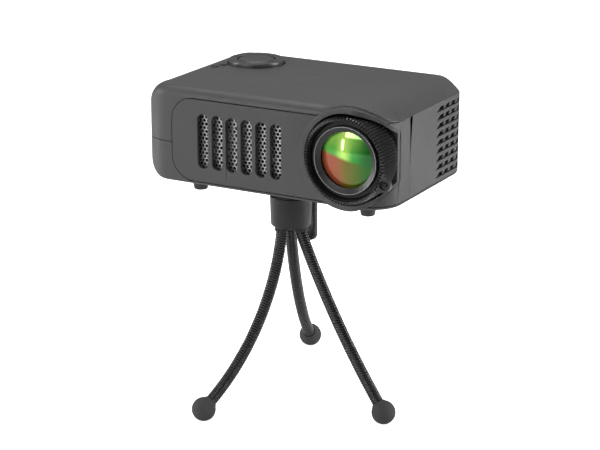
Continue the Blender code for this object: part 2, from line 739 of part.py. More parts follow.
def make_controls(parent, plastic, dark, board_green):
    base = CASE_HEIGHT + PAD_RISE - PAD_THICKNESS
    rocker_top = base - 2 * GAP
    rocker = frame_at("nav_rocker_axis", (PAD_X, PAD_Y, rocker_top), parent)
    plate = turned(
        "nav_rocker_plate",
        [
            (PAD_RADIUS - ROCKER_INSET, 0.0),
            (PAD_RADIUS - ROCKER_INSET, -ROCKER_THICKNESS),
            (OK_RADIUS + ROCKER_INSET, -ROCKER_THICKNESS),
            (OK_RADIUS + ROCKER_INSET, 0.0),
        ],
        24,
    )
    settle(plate, rocker, dark)
    ring = turned(
        "nav_ring",
        [
            (PAD_RADIUS - 1.0 * MM, PAD_THICKNESS + 2 * GAP),
            (PAD_RADIUS, PAD_THICKNESS + 2 * GAP - 1.0 * MM),
            (PAD_RADIUS, 2 * GAP),
            (OK_RADIUS + OK_GAP, 2 * GAP),
            (OK_RADIUS + OK_GAP, PAD_THICKNESS + 2 * GAP),
        ],
        32,
    )
    settle(ring, rocker, plastic)
    ok_axis = frame_at("ok_button_axis", (PAD_X, PAD_Y, CASE_HEIGHT), parent)
    button = turned(
        "ok_button",
        [
            (0.0, PAD_RISE - 0.1 * MM),
            (OK_RADIUS - 0.6 * MM, PAD_RISE - 0.1 * MM),
            (OK_RADIUS, PAD_RISE - 0.6 * MM),
            (OK_RADIUS, base - CASE_HEIGHT - 0.6 * MM),
            (0.0, base - CASE_HEIGHT - 0.6 * MM),
        ],
        32,
    )
    settle(button, ok_axis, plastic)
    for name, (x, y) in KEY_PLACES.items():
        axis = frame_at(f"{name}_axis", (x, y, CASE_HEIGHT), parent)
        profile = [
            (0.0, KEY_RISE),
            (KEY_RADIUS - 0.4 * MM, KEY_RISE),
            (KEY_RADIUS, KEY_RISE - 0.3 * MM),
            (KEY_RADIUS, -KEY_LENGTH),
            (0.0, -KEY_LENGTH),
        ]
        settle(turned(name, profile, 16), axis, dark)
    x = (PAD_X - PAD_RADIUS - KEY_BOARD_EDGE, PAD_X + PAD_RADIUS)
    y = (KEY_PLACES["power_button"][1] - 2 * KEY_RADIUS - KEY_BOARD_EDGE, PAD_Y + PAD_RADIUS)
    z = (KEY_BOARD_TOP - BOARD_THICKNESS, KEY_BOARD_TOP)
    settle(box("key_board", x, y, z), parent, board_green)


# Lens -----------------------------------------------------------------------------------------------


def make_focus_ring(parent, dark):
    axis = frame_at("focus_ring_axis", (LENS_X, 0.0, LENS_Z), parent)
    front = -RING_FRONT
    back = -(COLLAR_BACK - COLLAR_FLOOR - RING_END_GAP)
    chamfer = RING_CHAMFER
    profile = [
        (RING_RADIUS - chamfer, front),
        (RING_RADIUS, front - chamfer),
        (RING_RADIUS, back),
        (RING_INNER, back),
        (RING_INNER, front),
    ]
    ring = turned("focus_ring", profile, 40)
    reach, radius = TAB_REACH, TAB_RADIUS
    flank = [(RING_INNER + RING_CHAMFER, radius), (reach, radius)]
    tip = arc_points((reach, 0.0), radius, -1.4, 1.4, 8)
    outline = [(x, -y) for x, y in flank] + tip + flank[::-1]
    tab = outline_solid("finger_tab", outline, TAB_THICKNESS)
    turn = Matrix.Rotation(TAB_ANGLE, 4, "Z")
    level = front - TAB_THICKNESS / 2 - TAB_SET_BACK
    tab.data.transform(Matrix.Translation((0.0, 0.0, level)) @ turn)
    join(ring, as_cutter(tab, axis, rotation=FACING_FRONT))
    hole = cylinder("tab_hole", TAB_HOLE, -2 * front, 2 * front, 16)
    hole.data.transform(turn @ Matrix.Translation((TAB_HOLE_REACH, 0.0, 0.0)))
    cut(ring, as_cutter(hole, axis, rotation=FACING_FRONT))
    settle(ring, axis, dark, rotation=FACING_FRONT)


def make_lens_mount(parent, dark):
    """Helicoid sleeve: a cup in the focus ring, and a tube that runs back into the case."""
    inner, outer = MOUNT_TUBE
    cup_inner, cup_outer = MOUNT_CUP
    seat = -(COLLAR_BACK - COLLAR_FLOOR - GAP)
    bottom = seat + MOUNT_FLANGE
    profile = [
        (cup_outer, -MOUNT_FRONT),
        (cup_outer, seat),
        (outer, seat),
        (outer, -MOUNT_BACK),
        (inner, -MOUNT_BACK),
        (inner, bottom),
        (cup_inner, bottom),
        (cup_inner, -MOUNT_FRONT),
    ]
    settle(turned("lens_mount", profile, 32), parent, dark, (LENS_X, 0.0, LENS_Z), FACING_FRONT)


def glass_profile(radius, thickness, front_bulge, back_bulge, steps=5):
    """Section of a lens whose edge runs from z = 0 down to minus its thickness."""

    def cap(bulge, rising):
        points = []
        for i in range(steps + 1):
            share = i / steps
            points.append((radius * share, bulge * (1 - share**2)))
        return points if rising else points[::-1]

    front = cap(front_bulge, True)
    back = [(r, -thickness - z) for r, z in cap(back_bulge, False)]
    return front + back


def make_barrel(parent, dark, bright, glass):
    """The sliding barrel, its two lenses and the ring that holds the front lens."""
    axis = frame_at("lens_barrel_axis", (LENS_X, 0.0, LENS_Z), parent)
    front = -BARREL_FRONT
    glass_edge = -FRONT_GLASS_EDGE
    pocket = GLASS_RADIUS + GAP
    shelf = glass_edge - FRONT_GLASS_THICKNESS - GLASS_BEDDING
    tail_inner, tail_outer = BARREL_TAIL
    profile = [
        (BARREL_RADIUS, front),
        (BARREL_RADIUS, -BARREL_STEP),
        (tail_outer, -BARREL_STEP),
        (tail_outer, -BARREL_BACK),
        (tail_inner, -BARREL_BACK),
        (tail_inner, shelf),
        (pocket, shelf),
        (pocket, front),
    ]
    settle(turned("lens_barrel", profile, 32), axis, dark, rotation=FACING_FRONT)
    top = -RETAINER_FRONT
    lip = GLASS_RADIUS - 0.5 * MM
    retainer = [
        (BARREL_RADIUS - 0.2 * MM, top),
        (BARREL_RADIUS, top - 0.2 * MM),
        (BARREL_RADIUS, front + GAP),
        (lip, front + GAP),
        (lip, front + 2 * GAP),
        (BARREL_RADIUS - 0.7 * MM, top),
    ]
    settle(turned("lens_retainer", retainer, 32), axis, bright, rotation=FACING_FRONT)
    front_glass = glass_profile(GLASS_RADIUS, FRONT_GLASS_THICKNESS, 2.2 * MM, 1.2 * MM)
    settle(turned("front_lens", front_glass, 32), axis, glass, (0.0, FRONT_GLASS_EDGE, 0.0), FACING_FRONT)
    rear_glass = glass_profile(tail_inner - GAP, REAR_GLASS_THICKNESS, 1.0 * MM, 1.0 * MM, 3)
    settle(turned("rear_lens", rear_glass, 24), axis, glass, (0.0, REAR_GLASS_Y, 0.0), FACING_FRONT)


# Light engine, cooling and electronics ----------------------------------------------------------------


def make_light_engine(parent, dark, glass, metal):
    (x0, x1), (y0, y1), (z0, z1) = ENGINE_BOX
    wall = ENGINE_WALL
    housing = box("light_engine", (x0, x1), (y0, y1), (z0, z1))
    hollow = box("engine_hollow", (x0 + wall, x1 - wall), (y0 + wall, y1 - wall), (z0 + wall, z1 - wall))
    cut(housing, as_cutter(hollow, parent))
    half_width, half_height = GATE_HALF
    gate = box(
        "engine_gate",
        (LENS_X - half_width, LENS_X + half_width),
        (y0 - wall, y0 + 2 * wall),
        (LENS_Z - half_height, LENS_Z + half_height),
    )
    cut(housing, as_cutter(gate, parent))
    way = cylinder("led_way", CONDENSER_RADIUS + GAP, -2 * wall, 2 * wall, 24)
    cut(housing, as_cutter(way, parent, (x0, LED_AXIS_Y, LENS_Z), FACING_RIGHT))
    settle(housing, parent, dark)

    wide = (LENS_X - half_width, LENS_X + half_width)
    tall = (LENS_Z - half_height - 2 * MM, LENS_Z + half_height + 2 * MM)
    panel_y = y0 + wall + GAP
    settle(box("lcd_panel", wide, (panel_y, panel_y + LCD_THICKNESS), tall), parent, glass)
    field_y = panel_y + FIELD_LENS_OFFSET
    settle(box("field_lens", wide, (field_y, field_y + LCD_THICKNESS), tall, GAP), parent, glass)
    long, thick, high = (size / 2 for size in MIRROR_SIZE)
    mirror = box("folding_mirror", (-long, long), (-thick, thick), (-high, high))
    mirror_place = (LENS_X - MIRROR_SHIFT, LED_AXIS_Y + MIRROR_SHIFT, LENS_Z)
    settle(mirror, parent, metal, mirror_place, (0.0, 0.0, math.radians(-45)))
    depth = CONDENSER_THICKNESS
    lens = turned("condenser_lens", glass_profile(CONDENSER_RADIUS, depth, depth, depth / 5, 3), 20)
    settle(lens, parent, glass, (x0 + depth, LED_AXIS_Y, LENS_Z), FACING_RIGHT)
    led_x = SINK_BOX[0][1] + GAP
    thickness, side = LED_SIZE
    led_y = (LED_AXIS_Y - side / 2, LED_AXIS_Y + side / 2)
    led_z = (LENS_Z - side / 2, LENS_Z + side / 2)
    settle(box("led_module", (led_x, led_x + thickness), led_y, led_z, GAP), parent, metal)


def make_heat_sink(parent, metal):
    """Fins run along Y, in the fan's air, on a base plate at the LED."""
    (x0, x1), (y0, y1), (z0, z1) = SINK_BOX
    pitch = (z1 - z0) / (SINK_FINS - 0.5)
    outline = [(x1, z0), (x1, z1)]
    for i in reversed(range(SINK_FINS)):
        low = z0 + i * pitch
        high = z1 if i == SINK_FINS - 1 else low + pitch / 2
        outline += [(x1 - SINK_BASE if i < SINK_FINS - 1 else x1, high), (x0, high), (x0, low)]
        outline += [(x1 - SINK_BASE, low)] if i else []
    clean = [point for point, after in zip(outline, outline[1:] + outline[:1]) if point != after]
    sink = outline_solid("heat_sink", clean, y1 - y0)
    settle(sink, parent, metal, (0.0, (y0 + y1) / 2, 0.0), FACING_FRONT)


def make_fan(parent, dark):
    centre = (FAN_CENTRE, FAN_FRONT, CASE_WALL + GAP + FAN_SIZE / 2)
    half = FAN_SIZE / 2
    frame = box("fan_frame", (-half, half), (0.0, FAN_DEPTH), (-half, half))
    spider = FAN_SPIDER
    bore = cylinder("fan_bore", FAN_BORE, -FAN_DEPTH + spider, FAN_DEPTH, 32)
    cut(frame, as_cutter(bore, parent, centre, FACING_FRONT))
    for i in range(3):
        start = 2 * math.pi * i / 3
        window = arc_points((0.0, 0.0), FAN_BORE, start, start + 1.75, 8)
        window += arc_points((0.0, 0.0), FAN_HUB, start + 1.6, start + 0.15, 5)
        hole = outline_solid(f"fan_window_{i}", window, 2 * FAN_DEPTH)
        cut(frame, as_cutter(hole, parent, (centre[0], centre[1] + FAN_DEPTH, centre[2]), FACING_FRONT))
    settle(frame, parent, dark, centre)

    axis = frame_at("fan_axis", centre, parent)
    front = -FAN_HUB_INSET
    back = -(FAN_DEPTH - spider - FAN_END_GAP)
    rotor = turned("fan_rotor", [(0.0, front), (FAN_HUB, front), (FAN_HUB, back), (0.0, back)], 21)
    for i in range(FAN_BLADES):
        blade = box(
            f"fan_blade_{i}",
            (FAN_HUB - FAN_END_GAP, FAN_BORE - FAN_END_GAP),
            (-FAN_BLADE_THICKNESS / 2, FAN_BLADE_THICKNESS / 2),
            (-FAN_BLADE_CHORD / 2, FAN_BLADE_CHORD / 2),
        )
        blade.data.transform(Matrix.Rotation(FAN_BLADE_PITCH, 4, "X"))
        blade.data.transform(Matrix.Translation((0.0, 0.0, (front + back) / 2)))
        blade.data.transform(Matrix.Rotation(2 * math.pi * i / FAN_BLADES, 4, "Z"))
        join(rotor, as_cutter(blade, axis, rotation=FACING_FRONT))
    settle(rotor, axis, dark, rotation=FACING_FRONT)


def make_electronics(parent, board_green, steel, dark):
    outline = [
        (BOARD_LEFT, BOARD_FRONT),
        (BOARD_INNER, BOARD_FRONT),
        (BOARD_INNER, BOARD_STRIP),
        (BOARD_RIGHT, BOARD_STRIP),
        (BOARD_RIGHT, BOARD_REAR),
        (BOARD_LEFT, BOARD_REAR),
    ]
    board = outline_solid("main_board", outline, BOARD_THICKNESS)
    settle(board, parent, board_green, (0.0, 0.0, BOARD_LEVEL + BOARD_THICKNESS / 2))

    floor = BOARD_LEVEL + BOARD_THICKNESS + GAP
    mouth = CASE_DEPTH - SOCKET_FACE
    for name, (x, width, height, length) in SOCKETS.items():
        wide = (x - width / 2, x + width / 2)
        deep = (mouth - length, mouth)
        socket = box(name, wide, deep, (floor, floor + height))
        if name in ("hdmi_socket", "usb_socket"):
            shape_flat_socket(socket, parent, wide, deep, floor, height)
            settle(socket, parent, steel)
        else:
            shape_round_socket(socket, parent, (x, mouth, floor + height / 2), length - SOCKET_BACK)
            settle(socket, parent, dark)
    make_speaker(parent, dark)


def shape_flat_socket(socket, parent, wide, deep, floor, height):
    """Hollows a metal-shelled socket and leaves its contact tongue."""
    lip = SOCKET_LIP
    back = deep[0] + SOCKET_BACK
    way = box(
        f"{socket.name}_way",
        (wide[0] + lip, wide[1] - lip),
        (back, deep[1] + lip),
        (floor + lip, floor + height - lip),
    )
    middle = floor + height / 2
    tongue = box(
        f"{socket.name}_tongue",
        (wide[0] + SOCKET_BACK, wide[1] - SOCKET_BACK),
        (back - lip, deep[1] - SOCKET_FACE),
        (middle - SOCKET_TONGUE / 2, middle + SOCKET_TONGUE / 2),
    )
    cut(socket, as_cutter(way, parent))
    join(socket, as_cutter(tongue, parent))


def shape_round_socket(socket, parent, mouth, depth):
    """Bores a socket for a round plug; the power inlet also has a centre pin."""
    powered = socket.name == "dc_socket"
    bore = cylinder(f"{socket.name}_bore", DC_BORE if powered else AV_BORE, -depth, depth, 16)
    cut(socket, as_cutter(bore, parent, mouth, FACING_FRONT))
    if powered:
        pin = cylinder("dc_pin", DC_PIN, -depth - SOCKET_BACK / 2, -SOCKET_FACE, 10)
        join(socket, as_cutter(pin, parent, mouth, FACING_REAR))


def make_speaker(parent, dark):
    back = CASE_DEPTH - CASE_WALL - GAP
    rim = SPEAKER_RIM
    profile = [
        (0.0, 0.0),
        (SPEAKER_RADIUS, 0.0),
        (SPEAKER_RADIUS, -rim),
        (SPEAKER_RADIUS - rim, -2 * rim),
        (SPEAKER_RADIUS - rim, -SPEAKER_DEPTH),
        (0.0, -SPEAKER_DEPTH),
    ]
    settle(turned("speaker", profile, 20), parent, dark, (SPEAKER_X, back, SPEAKER_Z), FACING_REAR)


# Tripod ---------------------------------------------------------------------------------------------


def make_bush(parent, brass):
    profile = [(BUSH_RADIUS, BUSH_HEIGHT), (BUSH_RADIUS, GAP), (BUSH_BORE, GAP), (BUSH_BORE, BUSH_HEIGHT)]
    settle(turned("tripod_bush", profile, 20), parent, brass, (TRIPOD_X, TRIPOD_Y, 0.0))


def make_ball_stud(pan_axis, steel):
    """Threaded stud, round platform, neck and ball in one piece; its origin is the ball's centre."""
    top = BALL_DROP
    platform = top - GAP
    under = platform - PLATE_THICKNESS
    start = math.asin(NECK_RADIUS / BALL_RADIUS)
    steps = 8
    turns = [start + (math.pi - start) * i / steps for i in range(steps)]
    ball = [(BALL_RADIUS * math.sin(turn), BALL_RADIUS * math.cos(turn)) for turn in turns]
    profile = [
        (0.0, top + STUD_LENGTH),
        (STUD_RADIUS - 0.4 * MM, top + STUD_LENGTH),
        (STUD_RADIUS, top + STUD_LENGTH - 0.4 * MM),
        (STUD_RADIUS, platform),
        (PLATE_RADIUS, platform),
        (PLATE_RADIUS, under + 0.5 * MM),
        (PLATE_RADIUS - 0.5 * MM, under),
        (NECK_RADIUS, under),
        *ball,
        (0.0, -BALL_RADIUS),
    ]
    settle(turned("ball_stud", profile, 24), pan_axis, steel)


def make_ball_seat(pan_axis, nylon):
    """Cup that the ball turns in."""
    inner = BALL_RADIUS + GAP
    outer = inner + SEAT_WALL
    bowl = arc_points((0.0, 0.0), inner, 0.0, math.pi / 2, 6)
    shell = arc_points((0.0, 0.0), outer, math.pi / 2, 0.0, 6)
    profile = [(max(radius, 0.0), -depth) for radius, depth in bowl + shell]
    settle(turned("ball_seat", profile[::-1], 24), pan_axis, nylon)


def make_head(parent, metal):
    """Tapered barrel with a socket for the ball from above and a recess for the leg hub from below."""
    base = BALL_DROP - HEAD_BASE_DROP
    bore = BALL_RADIUS + GAP + SEAT_WALL + GAP
    mouth = math.sqrt(BALL_RADIUS**2 - HEAD_RIM**2) + GAP
    ledge = HEAD_RIM - HEAD_EDGE
    profile = [
        (HEAD_TOP_RADIUS - HEAD_EDGE, HEAD_RIM),
        (HEAD_TOP_RADIUS, HEAD_RIM - HEAD_EDGE),
        (HEAD_BASE_RADIUS, base),
        (bore, base),
        (bore, ledge - HEAD_EDGE),
        (mouth + 2 * GAP, ledge),
        (mouth, HEAD_RIM),
    ]
    head = turned("head_body", profile, 32)
    screw = cylinder("clamp_way", LEVER_HUB_RADIUS / 2 + GAP, 0.0, 2 * HEAD_TOP_RADIUS, 12)
    turn = (0.0, math.radians(90), LEVER_ANGLE)
    cut(head, as_cutter(screw, parent, rotation=turn))
    settle(head, parent, metal)


def make_leg_hub(parent, metal):
    """Plug that closes the head from below and holds the three leg roots."""
    base = BALL_DROP - HEAD_BASE_DROP
    bore = BALL_RADIUS + GAP + SEAT_WALL + GAP
    radius = bore - GAP
    hub = cylinder("leg_hub", radius, base + GAP, base + GAP + HUB_HEIGHT, 32)
    exit_height = BALL_DROP - LEG_EXIT_DROP
    for name, (leave, _, _) in LEGS.items():
        place = (LEG_CIRCLE * math.cos(leave), LEG_CIRCLE * math.sin(leave), 0.0)
        root = turned(f"leg_root_{name}", capsule_profile(base + GAP + HUB_HEIGHT / 2, exit_height), 12)
        join(hub, as_cutter(root, parent, place))
    settle(hub, parent, metal)


def capsule_profile(top, end):
    """Section of a rod that runs down from a flat top to a round end centred on a knuckle."""
    tip = [(LEG_RADIUS * math.cos(a), end - LEG_RADIUS * math.sin(a)) for a in (0.0, 0.4, 0.8, 1.2)]
    return [(0.0, top), (LEG_RADIUS, top), *tip, (0.0, end - LEG_RADIUS)]


def make_lever(parent, plastic):
    """Clamp screw and lever on the head's side, turning about the screw."""
    axis = frame_at("lock_lever_axis", (0.0, 0.0, 0.0), parent, (0.0, math.radians(90), LEVER_ANGLE))
    inner = BALL_RADIUS + GAP + SEAT_WALL + 2 * GAP
    near = HEAD_TOP_RADIUS + LEVER_STANDOFF
    far = near + LEVER_THICKNESS
    profile = [
        (0.0, near + LEVER_THICKNESS / 2),
        (LEVER_HUB_RADIUS, near + LEVER_THICKNESS / 2),
        (LEVER_HUB_RADIUS, near - 1.0 * MM),
        (LEVER_HUB_RADIUS / 2, near - 1.0 * MM),
        (LEVER_HUB_RADIUS / 2, inner),
        (0.0, inner),
    ]
    screw = turned("lock_lever", profile, 16)
    half = LEVER_WIDTH / 2
    outline = arc_points((LEVER_LENGTH - half, 0.0), half, -math.pi / 2, math.pi / 2, 8)
    outline += arc_points((0.0, 0.0), half, math.pi / 2, 1.5 * math.pi, 8)
    paddle = outline_solid("lever_paddle", outline, LEVER_THICKNESS)
    paddle.data.transform(Matrix.Translation((0.0, 0.0, (near + far) / 2)))
    join(screw, as_cutter(paddle, axis))
    settle(screw, axis, plastic)


def make_leg(parent, name, metal, rubber):
    """A leg of rods that bend at knuckles, with a ball foot; it leans until its foot meets the floor."""
    leave, azimuth, bend = LEGS[name]
    chords = 1 + 2 * math.cos(bend)
    lean = math.acos(min(LEG_DROP / (LEG_LINK_LENGTH * chords), 1.0)) - bend
    place = (LEG_CIRCLE * math.cos(leave), LEG_CIRCLE * math.sin(leave), BALL_DROP - LEG_EXIT_DROP)
    knuckle = frame_at(f"leg_{name}_1_axis", place, parent, (0.0, -lean, azimuth))
    start = LEG_RADIUS + GAP
    below = (0.0, 0.0, -LEG_LINK_LENGTH)
    for i in range(LEG_LINKS):
        if i:
            knuckle = frame_at(f"leg_{name}_{i + 1}_axis", below, knuckle, (0.0, -bend, 0.0))
        last = i == LEG_LINKS - 1
        if last:
            end = -LEG_LINK_LENGTH + BALL_FOOT_FLOOR + GAP
            profile = [(0.0, -start), (LEG_RADIUS, -start), (LEG_RADIUS, end), (0.0, end)]
        else:
            profile = capsule_profile(-start, -LEG_LINK_LENGTH)
        settle(turned(f"leg_{name}_{i + 1}", profile, 12), knuckle, metal)

    tilt = lean + bend * (LEG_LINKS - 1)
    foot_frame = frame_at(f"foot_{name}_centre", below, knuckle, (0.0, tilt, 0.0))
    low = math.acos(BALL_FOOT_FLAT / BALL_FOOT_RADIUS)
    profile = [(BALL_FOOT_RADIUS * math.sin(a), BALL_FOOT_RADIUS * math.cos(a)) for a in foot_angles(low)]
    foot = turned(f"ball_foot_{name}", [*profile, (0.0, -BALL_FOOT_FLAT)], 20)
    hole = cylinder(f"foot_hole_{name}", LEG_RADIUS + GAP, BALL_FOOT_FLOOR, 2 * BALL_FOOT_RADIUS, 16)
    cut(foot, as_cutter(hole, foot_frame, rotation=(0.0, -tilt, 0.0)))
    settle(foot, foot_frame, rubber)


def foot_angles(low, steps=9):
    """Polar angles from the ball's top down to the edge of its flat."""
    return [(math.pi - low) * i / steps for i in range(steps + 1)]


# Assembly -------------------------------------------------------------------------------------------


def stand_on_origin(root):
    """Moves the assembly so that the centre of its footprint is the world origin and it stands on z = 0."""
    bpy.context.view_layer.update()
    graph = bpy.context.evaluated_depsgraph_get()
    corners = []
    for obj in PARTS.objects:
        if obj.type != "MESH":
            continue
        evaluated = obj.evaluated_get(graph)
        corners += [evaluated.matrix_world @ vertex.co for vertex in evaluated.data.vertices]
    low = Vector(min(corner[i] for corner in corners) for i in range(3))
    high = Vector(max(corner[i] for corner in corners) for i in range(3))
    root.location = Vector((-(low.x + high.x) / 2, -(low.y + high.y) / 2, -low.z))


def main():
    global PARTS, CUTTERS
    clear_scene()
    PARTS = new_collection("home_projector")
    CUTTERS = new_collection("cutters")

    case = material("case_plastic", (0.075, 0.075, 0.078), 0.5)
    dark = material("dark_plastic", (0.02, 0.02, 0.021), 0.45)
    glass = material("coated_glass", (0.12, 0.3, 0.1), 0.05)
    bright = material("bright_aluminium", (0.7, 0.7, 0.72), 0.25, 1.0)
    steel = material("steel", (0.45, 0.45, 0.46), 0.35, 1.0)
    brass = material("brass", (0.75, 0.55, 0.25), 0.3, 1.0)
    head_metal = material("head_metal", (0.03, 0.03, 0.031), 0.4, 0.6)
    leg_metal = material("leg_metal", (0.04, 0.04, 0.042), 0.35, 0.8)
    rubber = material("rubber", (0.025, 0.025, 0.026), 0.8)
    board_green = material("circuit_board", (0.02, 0.12, 0.05), 0.5)
    nylon = material("nylon", (0.7, 0.7, 0.66), 0.5)

    root = frame_at("home_projector_frame", (0.0, 0.0, 0.0))
    head = frame_at("ball_axis", (TRIPOD_X, TRIPOD_Y, -BALL_DROP), root)
    projector = frame_at("projector_frame", (0.0, 0.0, 0.0), root)

    make_top_cover(projector, case)
    make_bottom_cover(projector, case)
    make_front_panel(projector, case)
    make_intake_mesh(projector, steel)
    make_side_grille(projector, case)
    make_rear_panel(projector, case)
    make_case_trim(projector, rubber, steel)
    make_controls(projector, case, dark, board_green)
    make_focus_ring(projector, dark)
    make_lens_mount(projector, dark)
    make_barrel(projector, dark, bright, glass)
    make_light_engine(projector, dark, glass, steel)
    make_heat_sink(projector, steel)
    make_fan(projector, dark)
    make_electronics(projector, board_green, steel, dark)
    make_bush(projector, brass)

    make_ball_stud(head, steel)
    make_ball_seat(head, nylon)
    make_head(head, head_metal)
    make_leg_hub(head, head_metal)
    make_lever(head, head_metal)
    for name in LEGS:
        make_leg(head, name, leg_metal, rubber)

    stand_on_origin(root)


main()
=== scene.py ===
"""Looks of a palm-sized home projector on a gooseneck tripod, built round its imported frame.

Units are metres and +Z is up. Case coordinates have x = 0 at the middle of the case, y = 0 on its front
face and z = 0 on its underside; each sub-assembly builds there and is then set in its place in the frame.
"""

import json
import logging
import math
from collections.abc import Callable, Iterable, Sequence
from dataclasses import dataclass, field
from enum import Enum

import bmesh
import bpy
from bpy.types import Material, Node, NodeSocket, NodeTree, Object
from mathutils import Matrix, Vector

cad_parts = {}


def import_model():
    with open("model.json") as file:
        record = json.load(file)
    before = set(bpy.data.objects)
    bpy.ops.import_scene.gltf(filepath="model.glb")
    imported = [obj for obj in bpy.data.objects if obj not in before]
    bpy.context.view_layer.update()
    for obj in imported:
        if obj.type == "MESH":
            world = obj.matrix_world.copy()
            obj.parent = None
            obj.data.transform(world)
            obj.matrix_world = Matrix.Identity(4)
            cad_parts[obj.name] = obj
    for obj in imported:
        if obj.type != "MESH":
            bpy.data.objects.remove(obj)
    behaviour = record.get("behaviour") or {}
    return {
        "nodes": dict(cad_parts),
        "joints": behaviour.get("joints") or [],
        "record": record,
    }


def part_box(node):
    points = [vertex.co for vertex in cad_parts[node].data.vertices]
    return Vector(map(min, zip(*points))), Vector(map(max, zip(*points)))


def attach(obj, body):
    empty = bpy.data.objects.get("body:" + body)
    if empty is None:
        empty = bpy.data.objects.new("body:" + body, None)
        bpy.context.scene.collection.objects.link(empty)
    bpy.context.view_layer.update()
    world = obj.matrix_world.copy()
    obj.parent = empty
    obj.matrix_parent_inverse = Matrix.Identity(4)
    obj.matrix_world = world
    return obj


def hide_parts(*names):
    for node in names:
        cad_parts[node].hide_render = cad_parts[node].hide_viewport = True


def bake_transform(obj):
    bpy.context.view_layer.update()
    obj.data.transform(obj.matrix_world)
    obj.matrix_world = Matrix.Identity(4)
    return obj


LOG = logging.getLogger("home_projector")

MM = 0.001
GAP = 0.3 * MM
GROOVE = 0.13 * MM
MERGE = 0.02 * MM
FULL_TURN = 2 * math.pi

Pair = tuple[float, float]
Colour = tuple[float, float, float]
Outline = list[Pair]
Source = NodeSocket | float
Tint = NodeSocket | Colour


class Facing(Enum):
    """Which way a piece that is built along +Z is turned."""

    UP = (0.0, 0.0, 0.0)
    FRONT = (math.pi / 2, 0.0, 0.0)
    REAR = (-math.pi / 2, 0.0, 0.0)
    RIGHT = (0.0, math.pi / 2, 0.0)


# Mesh work -------------------------------------------------------------------------------------------


def object_from(name: str, form: bmesh.types.BMesh) -> Object:
    """Makes a linked object of a bmesh and frees it.

    Args:
        name: The object's name.
        form: The mesh, which is freed.

    Returns:
        The new object.
    """
    bmesh.ops.recalc_face_normals(form, faces=form.faces)
    mesh = bpy.data.meshes.new(name)
    form.to_mesh(mesh)
    form.free()
    made = bpy.data.objects.new(name, mesh)
    bpy.context.scene.collection.objects.link(made)
    return made


def place(piece: Object, at: Sequence[float] = (0, 0, 0), facing: Facing = Facing.UP) -> Object:
    """Turns a piece's mesh and moves it to a point, leaving the object's own transform alone.

    Args:
        piece: The piece to set.
        at: Where its origin goes.
        facing: Which way its +Z is turned.

    Returns:
        The same piece.
    """
    turn = Matrix.Identity(4)
    for angle, axis in zip(facing.value, "XYZ"):
        turn = Matrix.Rotation(angle, 4, axis) @ turn
    piece.data.transform(Matrix.Translation(Vector(at)) @ turn)
    return piece


def baked(piece: Object) -> Object:
    """Makes a piece's modifiers part of its mesh, and returns the piece."""
    graph = bpy.context.evaluated_depsgraph_get()
    old = piece.data
    piece.data = bpy.data.meshes.new_from_object(piece.evaluated_get(graph))
    piece.data.name = piece.name
    piece.modifiers.clear()
    bpy.data.meshes.remove(old)
    return piece


def combine(target: Object, others: Iterable[Object], operation: str) -> Object:
    """Applies one Boolean after another and removes what was used.

    Args:
        target: The piece that stays.
        others: The shapes that act on it.
        operation: DIFFERENCE, UNION or INTERSECT.

    Returns:
        The target.
    """
    others = list(others)
    for other in others:
        modifier = target.modifiers.new(other.name, "BOOLEAN")
        modifier.operation = operation
        modifier.object = other
        modifier.solver = "EXACT"
    baked(target)
    for other in others:
        bpy.data.objects.remove(other)
    return target


def carve(target: Object, *others: Object) -> Object:
    """Takes shapes out of a piece."""
    return combine(target, others, "DIFFERENCE")


def weld(target: Object, *others: Object) -> Object:
    """Adds shapes to a piece."""
    return combine(target, others, "UNION")


def limit(target: Object, *others: Object) -> Object:
    """Keeps only what lies inside every one of some shapes."""
    return combine(target, others, "INTERSECT")


def clean(piece: Object) -> Object:
    """Merges the near-double points and flat splits that Booleans leave, and returns the piece."""
    form = bmesh.new()
    form.from_mesh(piece.data)
    bmesh.ops.remove_doubles(form, verts=form.verts, dist=MERGE)
    bmesh.ops.dissolve_degenerate(form, edges=form.edges, dist=MERGE)
    form.to_mesh(piece.data)
    form.free()
    return piece


def soften(piece: Object, width: float, segments: int = 2, angle: float = 35.0) -> Object:
    """Rounds a piece's sharp edges and shades it smooth.

    Args:
        piece: The piece.
        width: Width of the rounding.
        segments: Faces across the rounding.
        angle: Edges sharper than this many degrees are rounded.

    Returns:
        The piece, with its rounding baked.
    """
    clean(piece)
    bevel = piece.modifiers.new("edge_rounding", "BEVEL")
    bevel.width = width
    bevel.segments = segments
    bevel.limit_method = "ANGLE"
    bevel.angle_limit = math.radians(angle)
    bevel.use_clamp_overlap = False
    weigh = piece.modifiers.new("face_weighting", "WEIGHTED_NORMAL")
    weigh.keep_sharp = True
    piece.data.shade_smooth()
    baked(piece)
    return piece


def smooth(piece: Object, angle: float = 35.0) -> Object:
    """Shades a piece smooth, with edges over an angle in degrees left sharp."""
    piece.data.shade_smooth()
    piece.data.set_sharp_from_angle(angle=math.radians(angle))
    return piece


def arc(centre: Pair, radius: float, start: float, end: float, steps: int) -> Outline:
    """Points on an arc, ends included.

    Args:
        centre: Centre of the arc.
        radius: Its radius.
        start: First angle in degrees.
        end: Last angle in degrees.
        steps: Number of chords.

    Returns:
        The points in order.
    """
    turns = [math.radians(start + (end - start) * i / steps) for i in range(steps + 1)]
    return [(centre[0] + radius * math.cos(a), centre[1] + radius * math.sin(a)) for a in turns]


def rounded_slot(width: float, height: float, steps: int = 12) -> Outline:
    """Outline of an upright slot with round ends, centred on the origin."""
    radius = width / 2
    reach = height / 2 - radius
    return arc((0.0, reach), radius, 0, 180, steps) + arc((0.0, -reach), radius, 180, 360, steps)


